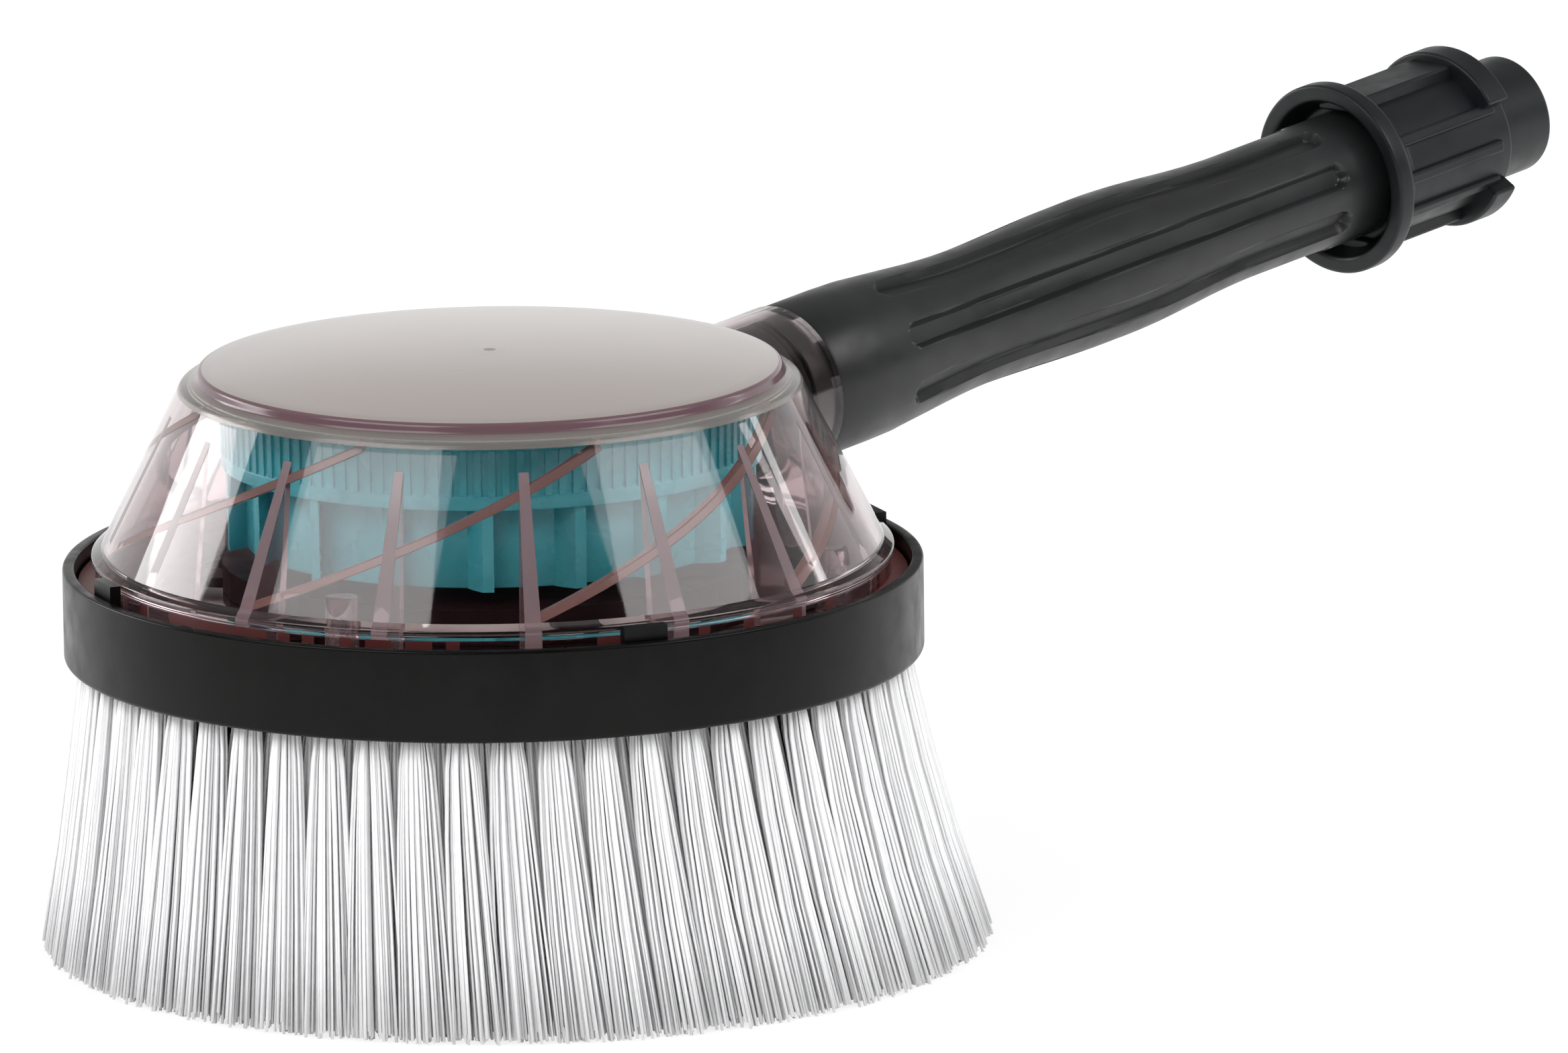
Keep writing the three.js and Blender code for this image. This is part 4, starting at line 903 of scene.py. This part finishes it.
def make_wheel():
    """Blades round an inner drum below the web, and a finely ribbed band above it."""
    band_inside = WHEEL_RADIUS - WHEEL_WALL
    web_bottom = WEB_TOP - WEB_THICKNESS
    hub_top = WHEEL_HUB_BOTTOM + WHEEL_HUB_HEIGHT
    web = [
        (WHEEL_HUB_BORE, WHEEL_HUB_BOTTOM),
        (WHEEL_HUB_RADIUS, WHEEL_HUB_BOTTOM),
        (WHEEL_HUB_RADIUS, web_bottom),
        (band_inside + BAND_OVERLAP, web_bottom),
        (band_inside + BAND_OVERLAP, WEB_TOP),
        (WHEEL_HUB_RADIUS, WEB_TOP),
        (WHEEL_HUB_RADIUS, hub_top),
        (WHEEL_HUB_BORE, hub_top),
    ]
    drum = [
        (INNER_DRUM_RADIUS - WHEEL_WALL, WHEEL_BOTTOM),
        (INNER_DRUM_RADIUS, WHEEL_BOTTOM),
        (INNER_DRUM_RADIUS, WHEEL_TOP),
        (INNER_DRUM_RADIUS - WHEEL_WALL, WHEEL_TOP),
    ]
    body = WHEEL_RADIUS - BAND_RIB_RISE
    band = [
        (band_inside, web_bottom),
        (WHEEL_RADIUS, web_bottom),
        (WHEEL_RADIUS, WEB_TOP + BAND_LOWER_LEDGE),
        (body, WEB_TOP + BAND_LOWER_SLANT),
        (body, WHEEL_TOP - BAND_UPPER_SLANT),
        (WHEEL_RADIUS, WHEEL_TOP - BAND_UPPER_LEDGE),
        (WHEEL_RADIUS, WHEEL_TOP),
        (band_inside, WHEEL_TOP),
    ]
    rib_half = math.pi * WHEEL_RADIUS / BAND_RIBS / 2
    rib = box(
        (body - BAND_RIB_DEPTH, -rib_half, WEB_TOP + BAND_RIB_LOWER_GAP),
        (WHEEL_RADIUS - BAND_RIB_INSET, rib_half, WHEEL_TOP - BAND_RIB_UPPER_GAP),
    )
    parts = [lathe(rounded(part, WHEEL_ROUNDING, 2), SMALL_SEGMENTS) for part in (web, drum)]
    parts.append(lathe(rounded(band, BAND_ROUNDING, 2)))
    parts += [turned(blade(), angle) for angle in even_angles(BLADES)]
    parts += [turned(rib, angle) for angle in even_angles(BAND_RIBS)]
    new_piece(
        "wheel", gather(parts), MATERIALS["teal"], "turbine", ["turbine_wheel"],
        crease=WHEEL_CREASE_DEGREES)


# Bristles


def outer_growth(share):
    """How far a row has spread, from 0 at its root to 1 at its tip."""
    return FLARE_STRAIGHT_SHARE * share + (1 - FLARE_STRAIGHT_SHARE) * share * share


def tuft(row, degrees, rng):
    """Filaments of one tuft, each a thin three-sided rod that follows the flare."""
    radius = TUFT_RADIUS * (1 - ROW_SHRINK_SHARE) ** row
    flare = OUTER_FLARE_SHARE * (1 + ROW_FLARE_STEP_SHARE * row)
    scale = radius / TUFT_RADIUS
    lean = polar(BRISTLE_LEAN, LEAN_DEGREES)
    outward = polar(1, degrees)
    sideways = polar(1, degrees + 90)
    count = FILAMENTS_PER_ROW[row]
    swing = rng.uniform(-TUFT_SWING, TUFT_SWING)
    parts = []
    for k in range(count):
        reach = math.sqrt((k + 0.5) / count)
        turn = k * FILAMENT_TURN + rng.uniform(-TURN_SCATTER, TURN_SCATTER)
        across = math.cos(turn) * reach
        deep = math.sin(turn) * reach
        scatter = LEVEL_SCATTER if rng.random() < LEVEL_SHARE else RAGGED_SCATTER
        end = rng.uniform(0, scatter)
        splay = rng.uniform(*SPLAY_SHARES)
        rings = []
        for share in FILAMENT_STATION_SHARES:
            height = ROOT_HEIGHT + (end - ROOT_HEIGHT) * share
            down = (ROOT_HEIGHT - height) / ROOT_HEIGHT
            spread = 1 + (TUFT_SPREAD * splay - 1) * down**SPREAD_POWER
            grown = radius * (1 + flare * outer_growth(down))
            centre = (
                outward * (grown + deep * TUFT_HALF_DEPTH * scale * (1 + DEPTH_GROWTH_SHARE * down))
                + sideways * (across * TUFT_HALF_WIDTH * scale * spread + swing * down)
                + lean * down**LEAN_POWER
            )
            centre.z = height
            thick = FILAMENT_RADIUS * (1 - FILAMENT_THINNING_SHARE * share)
            first = degrees + turn * FILAMENT_TWIST_DEGREES
            rings.append([centre + polar(thick, corner) for corner in even_angles(3, first)])
        parts.append(loft(rings))
    return gather(parts)


def make_bristles():
    """Tufts of filaments in four quarters, and the ring that they are set in."""
    rng = random.Random(7)
    per_quarter = TUFTS_PER_ROW // 4
    for quarter, side in enumerate(("east", "north", "west", "south")):
        tufts = []
        for row in range(len(FILAMENTS_PER_ROW)):
            stagger = ROW_STAGGER_SHARE if row % 2 else -ROW_STAGGER_SHARE
            for k in range(per_quarter):
                turn = (k + 0.5 + stagger) / TUFTS_PER_ROW * 360
                tufts.append(tuft(row, quarter * 90 - 45 + turn, rng))
        new_piece(
            f"filaments_{side}", gather(tufts), MATERIALS["filament"], "brush",
            [f"bristles_{side}"], crease=180)
    innermost = TUFT_RADIUS * (1 - ROW_SHRINK_SHARE) ** (len(FILAMENTS_PER_ROW) - 1)
    ring = rounded(
        [
            (innermost - BACKING_MARGIN, BACKING_BOTTOM),
            (SKIRT_INSIDE - FOOT_SIDE_GAP, BACKING_BOTTOM),
            (SKIRT_INSIDE - FOOT_SIDE_GAP, BACKING_TOP),
            (innermost - BACKING_MARGIN, BACKING_TOP),
        ],
        BACKING_ROUNDING,
        2,
    )
    new_piece(
        "bristle_backing", lathe(ring), MATERIALS["nylon"], "brush",
        ["bristles_east", "bristles_north", "bristles_west", "bristles_south"])


# Handle


def handle_radius(station):
    """Radius of the handle between its base, waist, swell and tail."""
    stations = [
        (0, HANDLE_RADII["base"]),
        (HANDLE_BASE, HANDLE_RADII["base"]),
        (HANDLE_LENGTH * HANDLE_SHARES["waist"], HANDLE_RADII["waist"]),
        (HANDLE_LENGTH * HANDLE_SHARES["swell"], HANDLE_RADII["swell"]),
        (HANDLE_LENGTH * HANDLE_SHARES["tail"], HANDLE_RADII["tail"]),
        (HANDLE_LENGTH, HANDLE_RADII["tail"]),
    ]
    for (start, first), (end, last) in zip(stations, stations[1:]):
        if station <= end:
            share = (station - start) / (end - start)
            return first + (last - first) * (1 - math.cos(math.pi * share)) / 2
    return HANDLE_RADII["tail"]


def flute_depth(station, across):
    """Depth of the nearest flute at a place across it, with round ends."""
    half = FLUTE_WIDTH / 2
    past = max(0.0, FLUTE_START + half - station, station - (FLUTE_END - half))
    distance = math.hypot(past, across)
    return FLUTE_DEPTH * (1 - ease(half - FLUTE_EDGE, half, distance))


def make_handle():
    """The fluted body with a spigot at each end."""
    fine = [k * FLUTE_END_STEP for k in range(FLUTE_END_STEPS)]
    stations = {0.0, HANDLE_END_MIDDLE, HANDLE_END_LENGTH, HANDLE_BASE, HANDLE_LENGTH}
    stations |= {FLUTE_START - FLUTE_EDGE + step for step in fine}
    stations |= {FLUTE_END + FLUTE_EDGE - step for step in fine}
    stations |= {FLUTE_START + FLUTE_RUN_START + k * FLUTE_RUN_STEP for k in range(FLUTE_RUN_STEPS)}
    pitch = 360 / FLUTES
    rings = []
    for station in sorted(stations):
        rounding = HANDLE_END_ROUNDING * (1 - ease(0, HANDLE_END_LENGTH, station))
        radius = handle_radius(station) - rounding
        ring = []
        for degrees in even_angles(HANDLE_SIDES):
            offset = (degrees % pitch) - pitch / 2
            across = radius * math.radians(offset)
            deep = flute_depth(station, across)
            ring.append(polar(radius - deep, degrees, station + SEAT_GAP))
        rings.append(ring)
    body = loft(rings)
    spigot = rounded(
        [
            (HANDLE_BORE, -SPIGOT_LENGTH),
            (SPIGOT_RADIUS, -SPIGOT_LENGTH),
            (SPIGOT_RADIUS, -SPIGOT_LENGTH / 2 - SEAL_GROOVE / 2),
            (SPIGOT_RADIUS - SEAL_GROOVE_DEPTH, -SPIGOT_LENGTH / 2 - SEAL_GROOVE / 2),
            (SPIGOT_RADIUS - SEAL_GROOVE_DEPTH, -SPIGOT_LENGTH / 2 + SEAL_GROOVE / 2),
            (SPIGOT_RADIUS, -SPIGOT_LENGTH / 2 + SEAL_GROOVE / 2),
            (SPIGOT_RADIUS, SPIGOT_ROOT),
            (HANDLE_BORE, SPIGOT_ROOT),
        ],
        SPIGOT_ROUNDING,
        3,
    )
    tail = [
        (HANDLE_BORE, FLUTE_END),
        (TAIL_SPIGOT_RADIUS, FLUTE_END),
        (TAIL_SPIGOT_RADIUS, TAIL_END),
        (HANDLE_BORE, TAIL_END),
    ]
    handle = gather([body, lathe(spigot, SMALL_SEGMENTS), lathe(tail, 64)])
    new_piece(
        "handle", handle, MATERIALS["handle"], "root", ["handle_tube"],
        place=AT_HANDLE, crease=HANDLE_CREASE_DEGREES)


# Coupling


def arc_block(inner, outer, bottom, top, middle, span):
    """A block bent round the z axis, about a middle angle."""
    angles = [middle + span * (k / LUG_STEPS - 0.5) for k in range(LUG_STEPS + 1)]
    rings = []
    for height in (bottom, top):
        rings.append(
            [
                *(polar(outer, angle, height) for angle in angles),
                *(polar(inner, angle, height) for angle in reversed(angles)),
            ]
        )
    return loft(rings)


def make_coupling():
    """Bell mouth, flange, body and tip, with lugs, keys and bars in relief."""
    mouth = COUPLING_MOUTH
    tip = mouth + COUPLING_LENGTH
    flange_end = mouth + FLANGE_LENGTH
    body_start = flange_end + COUPLING_CONE_LENGTH
    body_end = tip - COUPLING_TIP_LENGTH
    outline = [
        (TAIL_SPIGOT_RADIUS + SEAT_GAP, mouth + MOUTH_DEPTH),
        (MOUTH_RADIUS - MOUTH_NARROWING, mouth + MOUTH_DEPTH),
        (MOUTH_RADIUS, mouth + MOUTH_LIP),
        (FLANGE_RADIUS, mouth),
        (FLANGE_RADIUS, flange_end),
        (COUPLING_CONE_RADIUS, flange_end + COUPLING_CONE_LENGTH / 3),
        (COUPLING_RADIUS, body_start),
        (COUPLING_RADIUS, body_end),
        (COUPLING_TIP_RADIUS, body_end + COUPLING_TIP_STEP),
        (COUPLING_TIP_RADIUS, tip),
        (COUPLING_BORE, tip),
        (COUPLING_BORE, TAIL_END + SEAT_GAP),
        (TAIL_SPIGOT_RADIUS + SEAT_GAP, TAIL_END + SEAT_GAP),
    ]
    body = lathe(rounded(outline, COUPLING_ROUNDING, 5), COUPLING_SEGMENTS)
    lugs = [
        arc_block(
            RELIEF_INNER_RADIUS, LUG_RADIUS, body_end - LUG_START, body_end - LUG_END, side,
            LUG_SPAN_DEGREES)
        for side in (0, 180)
    ]
    key = box(
        (RELIEF_INNER_RADIUS, -KEY_HALF_WIDTH, flange_end),
        (KEY_RADIUS, KEY_HALF_WIDTH, body_end - BAR_END),
    )
    bar = box(
        (RELIEF_INNER_RADIUS, -BAR_HALF_WIDTH, flange_end),
        (BAR_RADIUS, BAR_HALF_WIDTH, body_end - BAR_END),
    )
    keys = [turned(key, side) for side in (0, 180)]
    bars = [turned(bar, side) for side in BAR_DEGREES]
    new_piece(
        "coupling_body", body, MATERIALS["coupling"], "root", ["coupling"],
        place=AT_HANDLE)
    new_piece(
        "coupling_lugs", gather([*lugs, *keys, *bars]), MATERIALS["coupling"], "root",
        ["coupling"], place=AT_HANDLE, bevel=RELIEF_BEVEL)


# Stage: floor, lamps, world and camera

CAMERA_DEGREES = -135  # side of the brush that the camera stands on
CAMERA_DISTANCE = 4000
CAMERA_ELEVATION = 12.46
CAMERA_ROLL = -0.91
CAMERA_LENS = 464.8
TARGET_HEIGHT = 60
AIM_RIGHT = 57.25
AIM_UP = 22.3
FLOOR_SIZE = 24
LAMP_DISTANCE = 2
WORLD_LIGHT = 1.0
STUDIO_DIM = 0.06  # seen by reflection in front of the brush
BACKDROP_SHARES = (0.08, 0.24)  # of the way from sideways to straight behind, where it turns white
BACKDROP_RISE_SHARES = (0.1, 0.5)  # of the way up, where it turns dimmer
BACKDROP_HIGH = 0.3
FLOOR_COLOR = 0.9
FLOOR_ROUGHNESS = 0.9
FLOOR_GLOW_SHARE = 0.82
SENSOR_WIDTH = 36
CLIP_DISTANCE = 100
# Name, degrees to the right of the camera, elevation, size in metres, power in watts
LAMPS = (
    ("left softbox", -49, 43, (1.62, 0.95), 15),
    ("right softbox", 67, 38.5, (1.42, 0.95), 13),
    ("left edge softbox", -116, 17, (1.15, 0.5), 9),
    ("right edge softbox", 114, 18, (0.12, 0.6), 1.2),
)


def make_camera():
    """A long lens at the photograph's angle, aimed so that the whole frame is filled as there."""
    elevation = math.radians(CAMERA_ELEVATION)
    ahead = -polar(1, CAMERA_DEGREES)
    right = polar(1, CAMERA_DEGREES + 90)
    forward = ahead * math.cos(elevation) - Vector((0, 0, math.sin(elevation)))
    up = right.cross(forward)
    roll = math.radians(CAMERA_ROLL)
    right, up = (
        right * math.cos(roll) + up * math.sin(roll),
        up * math.cos(roll) - right * math.sin(roll),
    )
    target = SPINDLE + Vector((0, 0, TARGET_HEIGHT * MM))
    eye = target - forward * CAMERA_DISTANCE * MM
    aim = target + (right * AIM_RIGHT + up * AIM_UP) * MM
    backward = (eye - aim).normalized()
    side = (right - backward * right.dot(backward)).normalized()
    above = backward.cross(side)
    data = bpy.data.cameras.new("camera")
    data.sensor_width = SENSOR_WIDTH
    data.lens = CAMERA_LENS
    data.clip_end = CLIP_DISTANCE
    camera = bpy.data.objects.new("camera", data)
    camera.matrix_world = Matrix.Translation(eye) @ Matrix((side, above, backward)).transposed().to_4x4()
    bpy.context.scene.collection.objects.link(camera)
    bpy.context.scene.camera = camera


def seen_rays(nodes, links):
    """1 for the rays by which the background is seen, straight or by reflection or glass."""
    rays = nodes.new("ShaderNodeLightPath")
    seen = rays.outputs["Is Camera Ray"]
    for kind in ("Is Glossy Ray", "Is Transmission Ray"):
        either = nodes.new("ShaderNodeMath")
        either.operation = "MAXIMUM"
        links.new(seen, either.inputs[0])
        links.new(rays.outputs[kind], either.inputs[1])
        seen = either.outputs[0]
    return seen


def make_floor():
    """A pale floor that glows for the rays that see it and keeps the brush's shadow."""
    half = FLOOR_SIZE / 2
    mesh = bpy.data.meshes.new("floor")
    corners = [(-half, -half, 0), (half, -half, 0), (half, half, 0), (-half, half, 0)]
    mesh.from_pydata(corners, [], [(0, 1, 2, 3)])
    floor = bpy.data.objects.new("floor", mesh)
    bpy.context.scene.collection.objects.link(floor)
    shader = Shader("pale floor")
    shader.main.inputs["Base Color"].default_value = (FLOOR_COLOR, FLOOR_COLOR, FLOOR_COLOR, 1)
    shader.main.inputs["Roughness"].default_value = FLOOR_ROUGHNESS
    shader.main.inputs["Specular IOR Level"].default_value = 0.0
    glow = shader.nodes.new("ShaderNodeEmission")
    glow.inputs["Color"].default_value = (1, 1, 1, 1)
    share = shader.nodes.new("ShaderNodeMath")
    share.operation = "MULTIPLY"
    share.inputs[1].default_value = FLOOR_GLOW_SHARE
    shader.links.new(seen_rays(shader.nodes, shader.links), share.inputs[0])
    mix = shader.nodes.new("ShaderNodeMixShader")
    shader.links.new(share.outputs[0], mix.inputs["Fac"])
    shader.links.new(shader.main.outputs["BSDF"], mix.inputs[1])
    shader.links.new(glow.outputs["Emission"], mix.inputs[2])
    shader.links.new(mix.outputs["Shader"], shader.output.inputs["Surface"])
    floor.data.materials.append(shader.material)


def make_world():
    """Even light, a white background and a backdrop for reflections."""
    world = bpy.data.worlds.new("studio")
    bpy.context.scene.world = world
    world.use_nodes = True
    nodes = world.node_tree.nodes
    links = world.node_tree.links
    background = nodes["Background"]
    background.inputs["Color"].default_value = (1, 1, 1, 1)
    rays = nodes.new("ShaderNodeLightPath")
    direct = nodes.new("ShaderNodeMath")
    direct.operation = "MAXIMUM"
    links.new(rays.outputs["Is Camera Ray"], direct.inputs[0])
    links.new(rays.outputs["Is Transmission Ray"], direct.inputs[1])
    plain = nodes.new("ShaderNodeMapRange")
    plain.inputs["To Min"].default_value = WORLD_LIGHT
    links.new(direct.outputs[0], plain.inputs["Value"])
    strength = nodes.new("ShaderNodeMix")
    links.new(rays.outputs["Is Glossy Ray"], strength.inputs["Factor"])
    links.new(plain.outputs["Result"], strength.inputs["A"])
    links.new(backdrop_seen(nodes, links), strength.inputs["B"])
    links.new(strength.outputs["Result"], background.inputs["Strength"])


def backdrop_seen(nodes, links):
    """How bright the studio is in a direction: a white backdrop behind the brush, dim in front."""
    place = nodes.new("ShaderNodeTexCoord").outputs["Generated"]

    def share_along(direction, low, high, start, end):
        dot = nodes.new("ShaderNodeVectorMath")
        dot.operation = "DOT_PRODUCT"
        dot.inputs[1].default_value = direction
        links.new(place, dot.inputs[0])
        spread = nodes.new("ShaderNodeMapRange")
        spread.interpolation_type = "SMOOTHSTEP"
        spread.inputs["From Min"].default_value = low
        spread.inputs["From Max"].default_value = high
        spread.inputs["To Min"].default_value = start
        spread.inputs["To Max"].default_value = end
        links.new(dot.outputs["Value"], spread.inputs["Value"])
        return spread.outputs["Result"]

    behind = share_along(-polar(1, CAMERA_DEGREES), *BACKDROP_SHARES, STUDIO_DIM, 1.0)
    height = share_along(Vector((0, 0, 1)), *BACKDROP_RISE_SHARES, 1.0, BACKDROP_HIGH)
    product = nodes.new("ShaderNodeMath")
    product.operation = "MULTIPLY"
    links.new(behind, product.inputs[0])
    links.new(height, product.inputs[1])
    return product.outputs[0]


def make_lamp(name, degrees, elevation, size, power):
    """A softbox that faces the cover, at an angle to the right of the camera and a height."""
    data = bpy.data.lights.new(name, "AREA")
    data.shape = "RECTANGLE"
    data.size, data.size_y = size
    data.energy = power
    lamp = bpy.data.objects.new(name, data)
    rise = math.radians(elevation)
    flat = polar(LAMP_DISTANCE * math.cos(rise), CAMERA_DEGREES + degrees)
    place = flat + Vector((0, 0, LAMP_DISTANCE * math.sin(rise)))
    lamp.location = SPINDLE + Vector((0, 0, DISC_EDGE * MM)) + place
    lamp.rotation_euler = (-place).to_track_quat("-Z", "Y").to_euler()
    bpy.context.scene.collection.objects.link(lamp)


def make_stage():
    make_floor()
    make_world()
    for lamp in LAMPS:
        make_lamp(*lamp)
    make_camera()
    bpy.context.scene.view_settings.view_transform = "Standard"


make_stage()
dress_carried_nodes()
make_skirt()
make_cover()
make_ribs()
make_bosses()
make_wheel()
make_bristles()
make_handle()
make_coupling()
